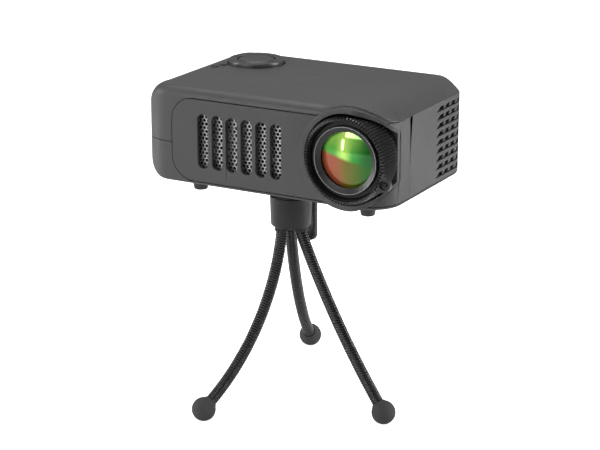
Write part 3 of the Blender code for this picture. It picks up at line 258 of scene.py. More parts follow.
def prism(name: str, outline: Outline, low: float, high: float) -> Object:
    """A closed solid with the same outline at two heights.

    Args:
        name: Name of the solid.
        outline: Its corners in the XY plane.
        low: Height of one end.
        high: Height of the other.

    Returns:
        The solid.
    """
    form = bmesh.new()
    bottom = [form.verts.new((x, y, low)) for x, y in outline]
    top = [form.verts.new((x, y, high)) for x, y in outline]
    form.faces.new(bottom[::-1])
    form.faces.new(top)
    for i, corner in enumerate(bottom):
        j = (i + 1) % len(bottom)
        form.faces.new((corner, bottom[j], top[j], top[i]))
    return object_from(name, form)


def block(name: str, x: Pair, y: Pair, z: Pair) -> Object:
    """A cutter between two values on each axis."""
    return prism(name, [(x[0], y[0]), (x[1], y[0]), (x[1], y[1]), (x[0], y[1])], z[0], z[1])


def disc(name: str, radius: float, low: float, high: float, steps: int = 64) -> Object:
    """A round cutter along Z."""
    return prism(name, arc((0.0, 0.0), radius, 0, 360 - 360 / steps, steps - 1), low, high)


Relief = Callable[[float, float, float], Pair]


def lathe(name: str, profile: Outline, steps: int = 96, relief: Relief | None = None) -> Object:
    """Turns a profile about Z.

    Args:
        name: Name of the piece.
        profile: (radius, height) pairs; one that leaves the axis open at both ends makes a ring.
        steps: Number of faces round the axis.
        relief: Gives a changed (radius, height) for a (radius, height, angle), such as for knurling.

    Returns:
        The turned piece, closed.
    """
    form = bmesh.new()
    rings = []
    for radius, height in profile:
        if radius <= 0.0:
            rings.append([form.verts.new((0.0, 0.0, height))])
            continue
        ring = []
        for i in range(steps):
            angle = FULL_TURN * i / steps
            r, z = relief(radius, height, angle) if relief else (radius, height)
            ring.append(form.verts.new((r * math.cos(angle), r * math.sin(angle), z)))
        rings.append(ring)
    pairs = list(zip(rings, rings[1:]))
    if len(rings[0]) > 1 and len(rings[-1]) > 1:
        pairs.append((rings[-1], rings[0]))
    for first, second in pairs:
        for i in range(steps):
            j = (i + 1) % steps
            corners = [first[i % len(first)], first[j % len(first)]]
            corners += [second[j % len(second)], second[i % len(second)]]
            unique = list(dict.fromkeys(corners))
            if len(unique) > 2:
                form.faces.new(unique)
    return object_from(name, form)


def rounded_profile(corners: Outline, radii: Sequence[float], steps: int = 4) -> Outline:
    """Replaces a profile's corners with small arcs.

    Args:
        corners: The corners, in order, not closed.
        radii: The rounding at each corner, 0 to leave it sharp.
        steps: Chords in each arc.

    Returns:
        The rounded profile.
    """
    made: Outline = []
    for i, (corner, radius) in enumerate(zip(corners, radii)):
        if radius <= 0.0 or i in (0, len(corners) - 1):
            made.append(corner)
            continue
        here = Vector(corner)
        before = (Vector(corners[i - 1]) - here).normalized()
        after = (Vector(corners[i + 1]) - here).normalized()
        half = before.angle(after) / 2
        reach = radius / math.tan(half)
        start, end = here + before * reach, here + after * reach
        for k in range(steps + 1):
            share = k / steps
            point = start.lerp(here, share).lerp(here.lerp(end, share), share)
            made.append((point.x, point.y))
    return made


# Shader groups ---------------------------------------------------------------------------------------


class Wiring:
    """Adds nodes to one node tree and joins them."""

    def __init__(self, tree: NodeTree) -> None:
        """Keeps the tree that is worked on."""
        self.tree = tree

    def add(self, kind: str, **settings: object) -> Node:
        """Adds a node and sets its properties."""
        node = self.tree.nodes.new(kind)
        for key, value in settings.items():
            setattr(node, key, value)
        return node

    def join(self, source: NodeSocket, target: NodeSocket) -> None:
        """Links an output to an input."""
        self.tree.links.new(source, target)

    def feed(self, target: NodeSocket, value: NodeSocket | float | Colour) -> None:
        """Links a socket to an input, or sets the input's own value."""
        if isinstance(value, NodeSocket):
            self.join(value, target)
        elif isinstance(value, tuple):
            target.default_value = (*value, 1.0) if len(value) == 3 else value
        else:
            target.default_value = value

    def maths(self, operation: str, first: Source, second: Source = 0.0) -> NodeSocket:
        """Adds a Math node and returns its result."""
        node = self.add("ShaderNodeMath", operation=operation)
        self.feed(node.inputs[0], first)
        self.feed(node.inputs[1], second)
        return node.outputs[0]

    def ramp(self, value: NodeSocket, low: float, high: float, ends: Pair = (0.0, 1.0)) -> NodeSocket:
        """Maps a value smoothly from one range to another and returns the result."""
        node = self.add("ShaderNodeMapRange", interpolation_type="SMOOTHSTEP")
        self.join(value, node.inputs["Value"])
        for key, number in (("From Min", low), ("From Max", high), ("To Min", ends[0]), ("To Max", ends[1])):
            node.inputs[key].default_value = number
        return node.outputs["Result"]

    def mix(self, share: Source, first: Tint, second: Tint, blend: str = "MIX") -> NodeSocket:
        """Mixes two colours and returns the result."""
        node = self.add("ShaderNodeMix", data_type="RGBA", blend_type=blend)
        self.feed(node.inputs[0], share)
        self.feed(node.inputs[6], first)
        self.feed(node.inputs[7], second)
        return node.outputs[2]

    def noise(self, place_in: NodeSocket, scale: NodeSocket | float, detail: float = 3.0) -> NodeSocket:
        """Adds a noise and returns its factor."""
        node = self.add("ShaderNodeTexNoise")
        self.join(place_in, node.inputs["Vector"])
        self.feed(node.inputs["Scale"], scale)
        node.inputs["Detail"].default_value = detail
        return node.outputs["Fac"]


@dataclass(frozen=True)
class GroupSpec:
    """Name and sockets of a shader node group."""

    name: str
    inputs: tuple[tuple[str, float], ...]
    outputs: tuple[str, ...]

    def build(self, fill: Callable[[Wiring, Node, Node], None]) -> NodeTree:
        """Builds the group once.

        Args:
            fill: Adds the group's nodes between its input and output nodes.

        Returns:
            The group's node tree, the one made before if there is one.
        """
        known = bpy.data.node_groups.get(self.name)
        if known:
            return known
        tree = bpy.data.node_groups.new(self.name, "ShaderNodeTree")
        for name, value in self.inputs:
            socket = tree.interface.new_socket(name=name, in_out="INPUT", socket_type="NodeSocketFloat")
            socket.default_value = value
        for name in self.outputs:
            tree.interface.new_socket(name=name, in_out="OUTPUT", socket_type="NodeSocketFloat")
        wires = Wiring(tree)
        fill(wires, wires.add("NodeGroupInput"), wires.add("NodeGroupOutput"))
        return tree


def fill_grain(wires: Wiring, given: Node, result: Node) -> None:
    """Fine texture of a surface: a height for bump, and a slow tone variation round 1."""
    where = wires.add("ShaderNodeTexCoord").outputs["Object"]
    fine = wires.noise(where, given.outputs["Scale"], 2.0)
    cells = wires.add("ShaderNodeTexVoronoi", feature="SMOOTH_F1")
    wires.join(where, cells.inputs["Vector"])
    wires.join(wires.maths("MULTIPLY", given.outputs["Scale"], 0.6), cells.inputs["Scale"])
    pits = wires.maths("MULTIPLY", cells.outputs["Distance"], 0.6)
    wires.join(wires.maths("ADD", fine, pits), result.inputs["Height"])
    slow = wires.noise(where, 55.0, 4.0)
    centred = wires.maths("MULTIPLY", wires.maths("SUBTRACT", slow, 0.5), given.outputs["Spread"])
    wires.join(wires.maths("ADD", centred, 1.0), result.inputs["Tone"])


def fill_handling(wires: Wiring, given: Node, result: Node) -> None:
    """Finger marks and fine scuffs: one mask that changes roughness, and dust that lies on what faces up."""
    coordinates = wires.add("ShaderNodeTexCoord")
    where = coordinates.outputs["Object"]
    patches = wires.ramp(wires.noise(where, 38.0, 5.0), 0.42, 0.68)
    stretched = wires.add("ShaderNodeMapping")
    wires.join(where, stretched.inputs["Vector"])
    stretched.inputs["Scale"].default_value = (1.0, 9.0, 9.0)
    scuffs = wires.ramp(wires.noise(stretched.outputs["Vector"], 210.0, 2.0), 0.6, 0.74)
    marks = wires.maths("ADD", patches, wires.maths("MULTIPLY", scuffs, 0.35))
    wires.join(wires.maths("MULTIPLY", marks, given.outputs["Amount"]), result.inputs["Marks"])
    split = wires.add("ShaderNodeSeparateXYZ")
    wires.join(coordinates.outputs["Normal"], split.inputs[0])
    level = wires.ramp(split.outputs["Z"], 0.55, 0.98)
    specks = wires.ramp(wires.noise(where, 900.0, 2.0), 0.5, 0.72)
    film = wires.maths("ADD", wires.maths("MULTIPLY", specks, 0.6), 0.25)
    dust = wires.maths("MULTIPLY", wires.maths("MULTIPLY", level, film), given.outputs["Dust"])
    wires.join(dust, result.inputs["Dust"])


GRAIN = GroupSpec("surface_grain", (("Scale", 2500.0), ("Spread", 0.1)), ("Height", "Tone"))
HANDLING = GroupSpec("handling_marks", (("Amount", 0.1), ("Dust", 0.1)), ("Marks", "Dust"))
DUST_COLOUR: Colour = (0.3, 0.3, 0.29)


# Finishes --------------------------------------------------------------------------------------------


@dataclass(frozen=True)
class Finish:
    """A plain finish with grain, tone variation, finger marks and dust."""

    name: str
    colour: Colour
    roughness: float
    metallic: float = 0.0
    grain: float = 2600.0
    depth: float = 0.04 * MM
    strength: float = 0.5
    spread: float = 0.12
    marks: float = 0.08
    dust: float = 0.06
    coat: float = 0.0
    specular: float = 0.5

    def material(self) -> Material:
        """The finish's material, built once."""
        known = bpy.data.materials.get(self.name)
        if known:
            return known
        made = bpy.data.materials.new(self.name)
        made.use_nodes = True
        wires = Wiring(made.node_tree)
        shader = made.node_tree.nodes["Principled BSDF"]
        shader.inputs["Metallic"].default_value = self.metallic
        shader.inputs["Specular IOR Level"].default_value = self.specular
        shader.inputs["Coat Weight"].default_value = self.coat
        shader.inputs["Coat Roughness"].default_value = 0.08
        grain = wires.add("ShaderNodeGroup", node_tree=GRAIN.build(fill_grain))
        grain.inputs["Scale"].default_value = self.grain
        grain.inputs["Spread"].default_value = self.spread
        handling = wires.add("ShaderNodeGroup", node_tree=HANDLING.build(fill_handling))
        handling.inputs["Amount"].default_value = self.marks
        handling.inputs["Dust"].default_value = self.dust
        toned = wires.mix(1.0, self.base(wires), grain.outputs["Tone"], "MULTIPLY")
        dusty = wires.mix(handling.outputs["Dust"], toned, DUST_COLOUR)
        wires.join(dusty, shader.inputs["Base Color"])
        wires.join(self.gloss(wires, handling.outputs["Marks"]), shader.inputs["Roughness"])
        bump = wires.add("ShaderNodeBump")
        bump.inputs["Strength"].default_value = self.strength
        bump.inputs["Distance"].default_value = self.depth
        wires.join(self.relief(wires, grain.outputs["Height"]), bump.inputs["Height"])
        wires.join(bump.outputs["Normal"], shader.inputs["Normal"])
        return made

    def base(self, wires: Wiring) -> NodeSocket | Colour:
        """The colour before tone and dust."""
        return self.colour

    def gloss(self, wires: Wiring, marks: NodeSocket) -> NodeSocket:
        """The roughness, raised where the surface has been handled."""
        return wires.maths("ADD", marks, self.roughness)

    def relief(self, wires: Wiring, grain: NodeSocket) -> NodeSocket:
        """The height that feeds the bump."""
        return grain


@dataclass(frozen=True)
class TurnedFinish(Finish):
    """A metal or hard plastic with fine turning lines round an axis."""

    centre: tuple[float, float, float] = (0.0, 0.0, 0.0)
    axis: str = "Z"
    lines: float = 2200.0

    def relief(self, wires: Wiring, grain: NodeSocket) -> NodeSocket:
        """Turning lines over the grain."""
        shift = wires.add("ShaderNodeMapping")
        wires.join(wires.add("ShaderNodeTexCoord").outputs["Object"], shift.inputs["Vector"])
        shift.inputs["Location"].default_value = tuple(-value for value in self.centre)
        rings = wires.add("ShaderNodeTexWave", wave_type="BANDS", bands_direction=self.axis)
        wires.join(shift.outputs["Vector"], rings.inputs["Vector"])
        rings.inputs["Scale"].default_value = self.lines
        rings.inputs["Distortion"].default_value = 1.5
        return wires.maths("ADD", grain, rings.outputs["Fac"])


@dataclass(frozen=True)
class LensPaintedReflection(Finish):
    """Coated glass with painted light in its colour: leaf green and yellow above as painted highlight, amber
    low on the left as painted reflection, deep green on the right as painted shade.
    """

    centre: tuple[float, float, float] = (0.0, 0.0, 0.0)
    radius: float = 13.0 * MM

    def base(self, wires: Wiring) -> NodeSocket:
        """The glass's painted reflections, highlights and shade, mixed over it from its centre."""
        shift = wires.add("ShaderNodeMapping")
        wires.join(wires.add("ShaderNodeTexCoord").outputs["Object"], shift.inputs["Vector"])
        size = 1.0 / self.radius
        shift.inputs["Scale"].default_value = (size, size, size)
        shift.inputs["Location"].default_value = tuple(-value * size for value in self.centre)
        split = wires.add("ShaderNodeSeparateXYZ")
        wires.join(shift.outputs["Vector"], split.inputs[0])
        across, up = split.outputs["X"], split.outputs["Z"]
        tilted = wires.maths("ADD", up, wires.maths("MULTIPLY", across, 0.22))
        lower = wires.ramp(tilted, 0.08, -0.08)
        left = wires.ramp(across, 0.15, -0.55)
        right = wires.ramp(across, 0.0, 0.8)
        middle = wires.ramp(wires.maths("ABSOLUTE", wires.maths("ADD", across, 0.12)), 0.38, 0.02)
        high = wires.ramp(up, 0.0, 0.75)
        green: Colour = (0.03, 0.34, 0.04)
        # Painted reflection: a pale yellow-green band down the middle.
        upper = wires.mix(middle, green, (0.42, 0.72, 0.14))
        # Painted highlight: the glass grows paler yellow-green towards the top.
        upper = wires.mix(wires.maths("MULTIPLY", high, 0.5), upper, (0.45, 0.7, 0.12))
        # Painted shade: the upper right darkens to deep green.
        upper = wires.mix(right, upper, (0.006, 0.11, 0.012))
        # Painted reflection: olive and amber low on the left.
        amber = wires.mix(left, (0.11, 0.12, 0.008), (0.3, 0.07, 0.03))
        # Painted shade: the lower right darkens to deep green.
        deep = wires.mix(right, amber, (0.012, 0.12, 0.006))
        return wires.mix(lower, upper, deep)


@dataclass(frozen=True)
class BoardFinish(Finish):
    """A circuit board: solder mask with paler tracks."""

    def base(self, wires: Wiring) -> NodeSocket:
        """Tracks drawn as a brick pattern at board scale."""
        where = wires.add("ShaderNodeTexCoord").outputs["Object"]
        bricks = wires.add("ShaderNodeTexBrick")
        wires.join(where, bricks.inputs["Vector"])
        bricks.inputs["Scale"].default_value = 320.0
        bricks.inputs["Mortar Size"].default_value = 0.03
        bricks.inputs["Color1"].default_value = (*self.colour, 1.0)
        bricks.inputs["Color2"].default_value = (*(0.8 * c for c in self.colour), 1.0)
        bricks.inputs["Mortar"].default_value = (0.06, 0.3, 0.12, 1.0)
        return bricks.outputs["Color"]


@dataclass(frozen=True)
class ClearGlass:
    """Plain optical glass."""

    name: str
    tint: Colour
    roughness: float = 0.03

    def material(self) -> Material:
        """The glass, with a trace of haze from handling."""
        known = bpy.data.materials.get(self.name)
        if known:
            return known
        made = bpy.data.materials.new(self.name)
        made.use_nodes = True
        wires = Wiring(made.node_tree)
        shader = made.node_tree.nodes["Principled BSDF"]
        shader.inputs["Transmission Weight"].default_value = 0.9
        shader.inputs["IOR"].default_value = 1.5
        handling = wires.add("ShaderNodeGroup", node_tree=HANDLING.build(fill_handling))
        handling.inputs["Amount"].default_value = 0.05
        handling.inputs["Dust"].default_value = 0.1
        wires.join(wires.mix(handling.outputs["Dust"], self.tint, DUST_COLOUR), shader.inputs["Base Color"])
        haze = wires.maths("ADD", handling.outputs["Marks"], self.roughness)
        wires.join(haze, shader.inputs["Roughness"])
        return made


AnyFinish = Finish | ClearGlass


def dress(piece: Object, finish: AnyFinish) -> Object:
    """Gives a piece its finish.

    Args:
        piece: The piece.
        finish: Its finish.

    Returns:
        The piece.
    """
    piece.data.materials.clear()
    piece.data.materials.append(finish.material())
    return piece


# Places ----------------------------------------------------------------------------------------------


@dataclass(frozen=True)
class Places:
    """Where things are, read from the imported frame; all but the origin in case coordinates."""

    origin: Vector
    width: float
    depth: float
    height: float
    lens: Vector
    pad: Vector
    keys: dict[str, Vector]
    ball: Vector

    @classmethod
    def read(cls) -> "Places":
        """Measures the frame's nodes."""
        low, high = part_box("bottom_cover")
        origin = Vector(((low.x + high.x) / 2, low.y, low.z))
        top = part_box("top_cover")[1].z

        def centre(node: str) -> Vector:
            first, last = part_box(node)
            return (first + last) / 2 - origin

        ball = centre("ball_stud")
        ball.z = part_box("ball_stud")[0].z - origin.z + BallHead.ball_radius
        return cls(
            origin=origin,
            width=high.x - low.x,
            depth=high.y - low.y,
            height=top - low.z,
            lens=centre("lens_mount"),
            pad=centre("nav_ring"),
            keys={name: centre(name) for name in ("power_button", "back_button")},
            ball=ball,
        )

    def middle(self, node: str) -> Vector:
        """The middle of a node's box."""
        low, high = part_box(node)
        return (low + high) / 2 - self.origin

    def levels(self, node: str) -> Pair:
        """Heights of a node's lowest and highest points."""
        low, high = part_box(node)
        return low.z - self.origin.z, high.z - self.origin.z


def settle(piece: Object, places: Places, body: str, replaced: Sequence[str] = ()) -> Object:
    """Moves a piece from case coordinates to the frame and makes it ride on a body.

    Args:
        piece: The finished piece.
        places: Where the case is.
        body: The body it rides on.
        replaced: The CAD nodes it stands for.

    Returns:
        The piece.
    """
    piece.data.transform(Matrix.Translation(places.origin))
    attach(piece, body)
    if replaced:
        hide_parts(*replaced)
    LOG.info("%s rides on %s, %d faces", piece.name, body, len(piece.data.polygons))
    return piece


# Case ------------------------------------------------------------------------------------------------


class Side(Enum):
    """The four sides of the case, by the way their wall faces."""

    LEFT = (-1.0, 0.0)
    RIGHT = (1.0, 0.0)
    FRONT = (0.0, -1.0)
    REAR = (0.0, 1.0)

    def share(self, normal: Pair) -> float:
        """How much this side counts where the wall faces a normal; the four add up to 1."""
        return max(normal[0] * self.value[0] + normal[1] * self.value[1], 0.0) ** 2


@dataclass
class CaseBody:
    """The case as lofts and zones: covers, front panel with its collar, louvred panel and rear panel."""

    places: Places
    wall: float = 2.0 * MM
    corner: float = 15.0 * MM
    seam: float = 18.5 * MM
    round_steps: int = 10
    corner_steps: int = 14
    crown_steps: int = 14
    side_step: float = 2.4 * MM
    edge: float = 0.35 * MM
    panel_floor: float = 1.6 * MM
    panel_left: float = -45.5 * MM
    panel_corner: float = 11.0 * MM
    panel_wrap: float = 23.0 * MM
    lip_drop: float = 0.2 * MM
    side_end: float = 82.0 * MM
    side_reach: float = 9.0 * MM
    rear_span: Pair = (-47.0 * MM, 46.0 * MM)
    rear_heights: Pair = (4.0 * MM, 36.0 * MM)
    slot_count: int = 6
    slot_pitch: float = 7.53 * MM
    slot_first: float = -29.2 * MM
    slot_width: float = 5.4 * MM
    slot_heights: Pair = (8.0 * MM, 33.3 * MM)
    collar_radius: float = 23.0 * MM
    collar_back_radius: float = 21.2 * MM
    collar_front: float = -4.0 * MM
    collar_back: float = 13.0 * MM
    collar_floor: float = 2.0 * MM
    bore: float = 20.4 * MM
    throat: float = 15.7 * MM
    arch_proud: float = 0.2 * MM
    arch_blend: float = 1.3 * MM
    arch_depths: Pair = (6.0 * MM, 27.0 * MM)
    louvre_rows: int = 9
    louvre_pitch: float = 3.85 * MM
    louvre_first: float = 3.6 * MM
    louvre_height: float = 2.05 * MM
    louvre_span: Pair = (50.2 * MM, 81.0 * MM)
    louvre_cells: int = 5
    louvre_ledge: float = 0.6 * MM
    louvre_fin: float = 2.5 * MM
    louvre_lean: float = 1.2 * MM
    pad_hole: float = 13.7 * MM
    key_hole: float = 1.8 * MM
    bush_hole: float = 5.3 * MM
    screw_well: float = 2.9 * MM
    well_depth: float = 1.3 * MM
    screw_way: float = 1.5 * MM
    sound_slots: int = 5
    sound_slot: Pair = (1.5 * MM, 14.0 * MM)
    sound_pitch: float = 3.4 * MM
    mesh_pitch: float = 1.95 * MM
    mesh_strand: float = 0.24 * MM
    mesh_margin: float = 3.0 * MM
    mesh_thickness: float = 1.0 * MM
    mesh_depth: float = 1.3 * MM
    top_rounds: dict[Side, Pair] = field(
        default_factory=lambda: {
            Side.LEFT: (12.0 * MM, 12.0 * MM),
            Side.FRONT: (4.6 * MM, 4.2 * MM),
            Side.REAR: (6.0 * MM, 6.0 * MM),
            Side.RIGHT: (14.0 * MM, 5.7 * MM),
        }
    )
    bottom_rounds: dict[Side, Pair] = field(
        default_factory=lambda: {
            Side.LEFT: (11.0 * MM, 11.0 * MM),
            Side.FRONT: (1.5 * MM, 1.5 * MM),
            Side.REAR: (3.0 * MM, 3.0 * MM),
            Side.RIGHT: (1.5 * MM, 1.5 * MM),
        }
    )

    def plan(self, inset: float = 0.0, front: float = 0.0) -> list[tuple[float, float, Pair]]:
        """The case seen from above.

        Args:
            inset: How far inside the outer wall.
            front: Where the front face lies.

        Returns:
            (x, y, wall normal) round the case.
        """
        half = self.places.width / 2 - self.corner
        low, high = front + self.corner, self.places.depth - self.corner
        points = []
        corners = (((-half, low), 180), ((half, low), 270), ((half, high), 0), ((-half, high), 90))
        for centre, start in corners:
            for i in range(self.corner_steps + 1):
                angle = math.radians(start + 90 * i / self.corner_steps)
                normal = (math.cos(angle), math.sin(angle))
                radius = self.corner - inset
                points.append((centre[0] + radius * normal[0], centre[1] + radius * normal[1], normal))
        return points if inset else self.with_sides(points)

    def with_sides(self, corners: list[tuple[float, float, Pair]]) -> list[tuple[float, float, Pair]]:
        """Adds even points along the four straight sides between the corners."""
        points = []
        for i, here in enumerate(corners):
            points.append(here)
            after = corners[(i + 1) % len(corners)]
            count = int(math.dist(here[:2], after[:2]) / self.side_step)
            for k in range(1, count):
                share = k / count
                x = here[0] + (after[0] - here[0]) * share
                y = here[1] + (after[1] - here[1]) * share
                points.append((x, y, here[2]))
        return points

    def top_section(self, side: Side, share: float, wall: float) -> Pair:
        """(inset, drop) of one side's top edge, from the wall at 0 to the top at 1."""
        reach, drop = self.top_rounds[side]
        if side is Side.RIGHT:
            return reach * share, drop * (1 - share) ** 2
        angle = share * math.pi / 2
        return (reach - wall) * (1 - math.cos(angle)), (drop - wall) * (1 - math.sin(angle))

    def bottom_section(self, side: Side, share: float, wall: float) -> Pair:
        """(inset, rise) of one side's bottom edge, from the flat bottom at 0 to the wall at 1."""
        reach, rise = (max(size - wall, GAP) for size in self.bottom_rounds[side])
        angle = share * math.pi / 2
        return reach * (1 - math.sin(angle)), rise * (1 - math.cos(angle))

    def arched(self, x: float, y: float, height: float) -> float:
        """Raises the top cover's surface so that its front edge arches over the collar.

        Args:
            x: Place across the case.
            y: Place behind the front face.
            height: Height that the surface has without the arch.

        Returns:
            The raised height.
        """
        across = x - self.places.lens.x
        edge = self.places.lens.z + math.sqrt(max(self.collar_radius**2 - across**2, 0.0)) + self.arch_proud
        near, far = self.arch_depths
        share = min(max((y - near) / (far - near), 0.0), 1.0)
        fade = 1 - share * share * (3 - 2 * share)
        rise = edge - height
        return height + fade * (rise + math.sqrt(rise**2 + self.arch_blend**2)) / 2

    def loft(self, name: str, wall: float = 0.0) -> Object:
        """The case's outside, or the space inside a wall, as one closed form."""
        form = bmesh.new()
        plan = self.plan(wall)
        rings = []
        levels = [i / self.round_steps for i in range(self.round_steps + 1)]
        for section, upper in ((self.bottom_section, False), (self.top_section, True)):
            for level in levels:
                ring = []
                for x, y, normal in plan:
                    inset = sum(side.share(normal) * section(side, level, wall)[0] for side in Side)
                    rise = sum(side.share(normal) * section(side, level, wall)[1] for side in Side)
                    px, py = x - normal[0] * inset, y - normal[1] * inset
                    height = self.places.height - wall - rise if upper else rise + wall
                    if upper and not wall:
                        height = self.arched(px, py, height)
                    ring.append((px, py, height))
                rings.append(ring)
        top = self.places.height - wall
        crown = rings[-1]
        middle = (0.0, self.places.depth / 2)
        for k in range(1, self.crown_steps if not wall else 1):
            shrink = 1 - (k / self.crown_steps) ** 1.3
            ring = []
            for x, y, _ in crown:
                px, py = middle[0] + (x - middle[0]) * shrink, middle[1] + (y - middle[1]) * shrink
                ring.append((px, py, self.arched(px, py, top)))
            rings.append(ring)
        made = [[form.verts.new(point) for point in ring] for ring in rings]
        for lower, higher in zip(made, made[1:]):
            for i, corner in enumerate(lower):
                j = (i + 1) % len(lower)
                form.faces.new((corner, lower[j], higher[j], higher[i]))
        form.faces.new(made[0][::-1])
        form.faces.new(made[-1])
        return object_from(name, form)

    def lip(self, x: float) -> float:
        """Height of the top cover's lower edge over the front wall and round the front right corner."""
        along = min(max((x - self.places.width / 2 + self.corner) / self.corner, 0.0), 1.0) ** 2
        drop = self.top_rounds[Side.FRONT][1] * (1 - along) + self.top_rounds[Side.RIGHT][1] * along
        return self.places.height - drop - self.lip_drop

    def front_zone(self, name: str, grow: float) -> Object:
        """The space that the front panel takes out of the case wall."""
        low, left = self.panel_floor - grow, self.panel_left - grow
        radius = self.panel_corner + grow
        beyond = self.places.width
        corner = self.places.width / 2 - self.corner
        steps = 12
        upper_left = self.lip(left) + grow - radius
        outline = arc((left + radius, low + radius), radius, 180, 270, 12)
        outline += [(beyond, low), (beyond, self.lip(beyond) + grow)]
        lip_x = [corner + self.corner * i / steps for i in reversed(range(steps + 1))]
        outline += [(x, self.lip(x) + grow) for x in lip_x]
        outline += arc((left + radius, upper_left), radius, 90, 180, 12)
        face = place(prism(name, outline, -self.places.depth, self.places.depth), facing=Facing.FRONT)
        inner = self.corner - self.wall - GAP
        wide, deep = self.places.width, self.places.depth
        end = self.panel_wrap + grow
        plan = [(-wide, -deep), (wide, -deep), (wide, end), (corner + inner, end)]
        plan += arc((corner, self.corner), inner, 0, -90, 14)
        plan += [(-wide, self.wall + GAP)]
        return limit(face, prism(f"{name}_walls", plan, -self.places.height, 2 * self.places.height))

    def side_zone(self, name: str, grow: float) -> Object:
        """The space of the louvred panel on the right."""
        x = (self.places.width / 2 - self.side_reach, self.places.width)
        y = (self.panel_wrap + GAP - grow, self.side_end + grow)
        return block(name, x, y, (self.panel_floor - grow, self.lip(self.places.width) + grow))

    def rear_zone(self, name: str, grow: float) -> Object:
        """The space of the socket panel at the back."""
        x = (self.rear_span[0] - grow, self.rear_span[1] + grow)
        z = (self.rear_heights[0] - grow, self.rear_heights[1] + grow)
        return block(name, x, (self.places.depth - self.wall - GAP, 2 * self.places.depth), z)

    def collar(self, name: str, grow: float) -> Object:
        """The slightly conical boss round the focus ring."""
        back, front = self.collar_back_radius + grow, self.collar_radius + grow
        heights = (-self.collar_back - grow, -self.collar_front)
        profile = [(0.0, heights[1]), (front, heights[1]), (back, heights[0]), (0.0, heights[0])]
        boss = lathe(name, profile, 128)
        return place(boss, (self.places.lens.x, 0.0, self.places.lens.z), Facing.FRONT)

    def ring_bore(self, name: str) -> Object:
        """The round room that the focus ring turns in."""
        bore = disc(name, self.bore, self.collar_floor - self.collar_back, self.places.height, 128)
        return place(bore, (self.places.lens.x, 0.0, self.places.lens.z), Facing.FRONT)

    def collar_fade(self, x: float, y: float) -> float:
        """How far the collar's face falls back towards the panel where it turns the right corner."""
        turned = (x - self.places.width / 2 + self.corner) / self.corner
        middle = self.places.depth / 2
        along = min((middle - y) / (middle - self.corner), 1.0)
        if turned <= 0.0 or along <= 0.0:
            return 0.0
        return -(self.collar_front + GAP) * along * min(turned * 1.7, 1.0) ** 1.4

    def cover(self, name: str, upper: bool) -> Object:
        """One half of the case: the loft, hollowed, cut at the seam and opened for the panels."""
        half = self.loft(name)
        wide = (-self.places.width, self.places.width)
        if upper:
            beyond = block("beyond_seam", wide, wide, (-self.places.height, self.seam + GROOVE / 2))
        else:
            beyond = block("beyond_seam", wide, wide, (self.seam - GROOVE / 2, 2 * self.places.height))
        cutters = [
            self.loft("hollow", self.wall),
            beyond,
            self.front_zone("front_opening", GROOVE),
            self.side_zone("side_opening", GROOVE),
            self.rear_zone("rear_opening", GROOVE),
            self.ring_bore("ring_room") if upper else self.collar("collar_room", GROOVE),
        ]
        return carve(half, *cutters)

    def top_cover(self, finish: Finish) -> None:
        """The upper cover, with its holes for the pad and the two keys."""
        cover = self.cover("top_shell", True)
        pad = self.places.pad
        floor, roof = self.places.height - 3 * self.wall, 2 * self.places.height
        holes = [place(disc("pad_hole", self.pad_hole, floor, roof, 96), (pad.x, pad.y, 0.0))]
        for name, spot in self.places.keys.items():
            holes.append(place(disc(f"hole_{name}", self.key_hole, floor, roof, 24), (spot.x, spot.y, 0.0)))
        soften(carve(cover, *holes), self.edge)
        settle(dress(cover, finish), self.places, "projector", ["top_cover"])

    def bottom_cover(self, finish: Finish) -> None:
        """The lower cover, with the tripod bush's hole and the countersunk screw holes."""
        cover = self.cover("bottom_shell", False)
        below, above = -5 * MM, 5 * MM
        bush = disc("bush_hole", self.bush_hole, below, above)
        holes = [place(bush, (self.places.ball.x, self.places.ball.y, 0.0))]
        for node in SCREWS:
            centre = self.places.middle(node)
            at = (centre.x, centre.y, 0.0)
            holes.append(place(disc(f"well_{node}", self.screw_well, below, self.well_depth, 32), at))
            holes.append(place(disc(f"way_{node}", self.screw_way, below, above, 24), at))
        soften(carve(cover, *holes), self.edge)
        settle(dress(cover, finish), self.places, "projector", ["bottom_cover"])

    def patch(self, name: str, zone: Object) -> Object:
        """The part of the case wall that lies in a zone."""
        return carve(limit(self.loft(name), zone), self.loft(f"{name}_hollow", self.wall))

    def front_panel(self, finish: Finish) -> None:
        """The front panel: flat grille side, collar and the turn round the front right corner."""
        panel = self.patch("front_fascia", self.front_zone("front_area", 0.0))
        outline = [(x, y + self.collar_fade(x, y)) for x, y, _ in self.plan(front=self.collar_front)]
        depth = 2 * self.places.height
        collar = limit(self.collar("collar", 0.0), prism("collar_plan", outline, -depth, depth))
        weld(panel, collar)
        axis = (self.places.lens.x, 0.0, self.places.lens.z)
        cutters = [
            self.ring_bore("ring_bore"),
            place(disc("mount_hole", self.throat, -depth, depth, 96), axis, Facing.FRONT),
        ]
        height = self.slot_heights[1] - self.slot_heights[0]
        middle = (self.slot_heights[1] + self.slot_heights[0]) / 2
        for i in range(self.slot_count):
            outline = rounded_slot(self.slot_width, height)
            slot = prism(f"air_slot_{i}", outline, -4 * self.wall, 4 * self.wall)
            cutters.append(place(slot, (self.slot_first + i * self.slot_pitch, 0.0, middle), Facing.FRONT))
        soften(carve(panel, *cutters), self.edge, 3)
        settle(dress(panel, finish), self.places, "projector", ["front_panel"])

    def side_panel(self, finish: Finish) -> None:
        """The right panel with rows of wedge-shaped louvres that run round the rear corner."""
        panel = self.patch("louvre_panel", self.side_zone("side_area", 0.0))
        rows = [self.louvre_row(row) for row in range(self.louvre_rows)]
        merged = join_meshes("louvre_rows", rows)
        merged.data.transform(Matrix(((0, 0, 1, 0), (1, 0, 0, 0), (0, 1, 0, 0), (0, 0, 0, 1))))
        carve(panel, merged)
        soften(panel, 0.15 * MM, 1)
        settle(dress(panel, finish), self.places, "projector", ["side_grille"])

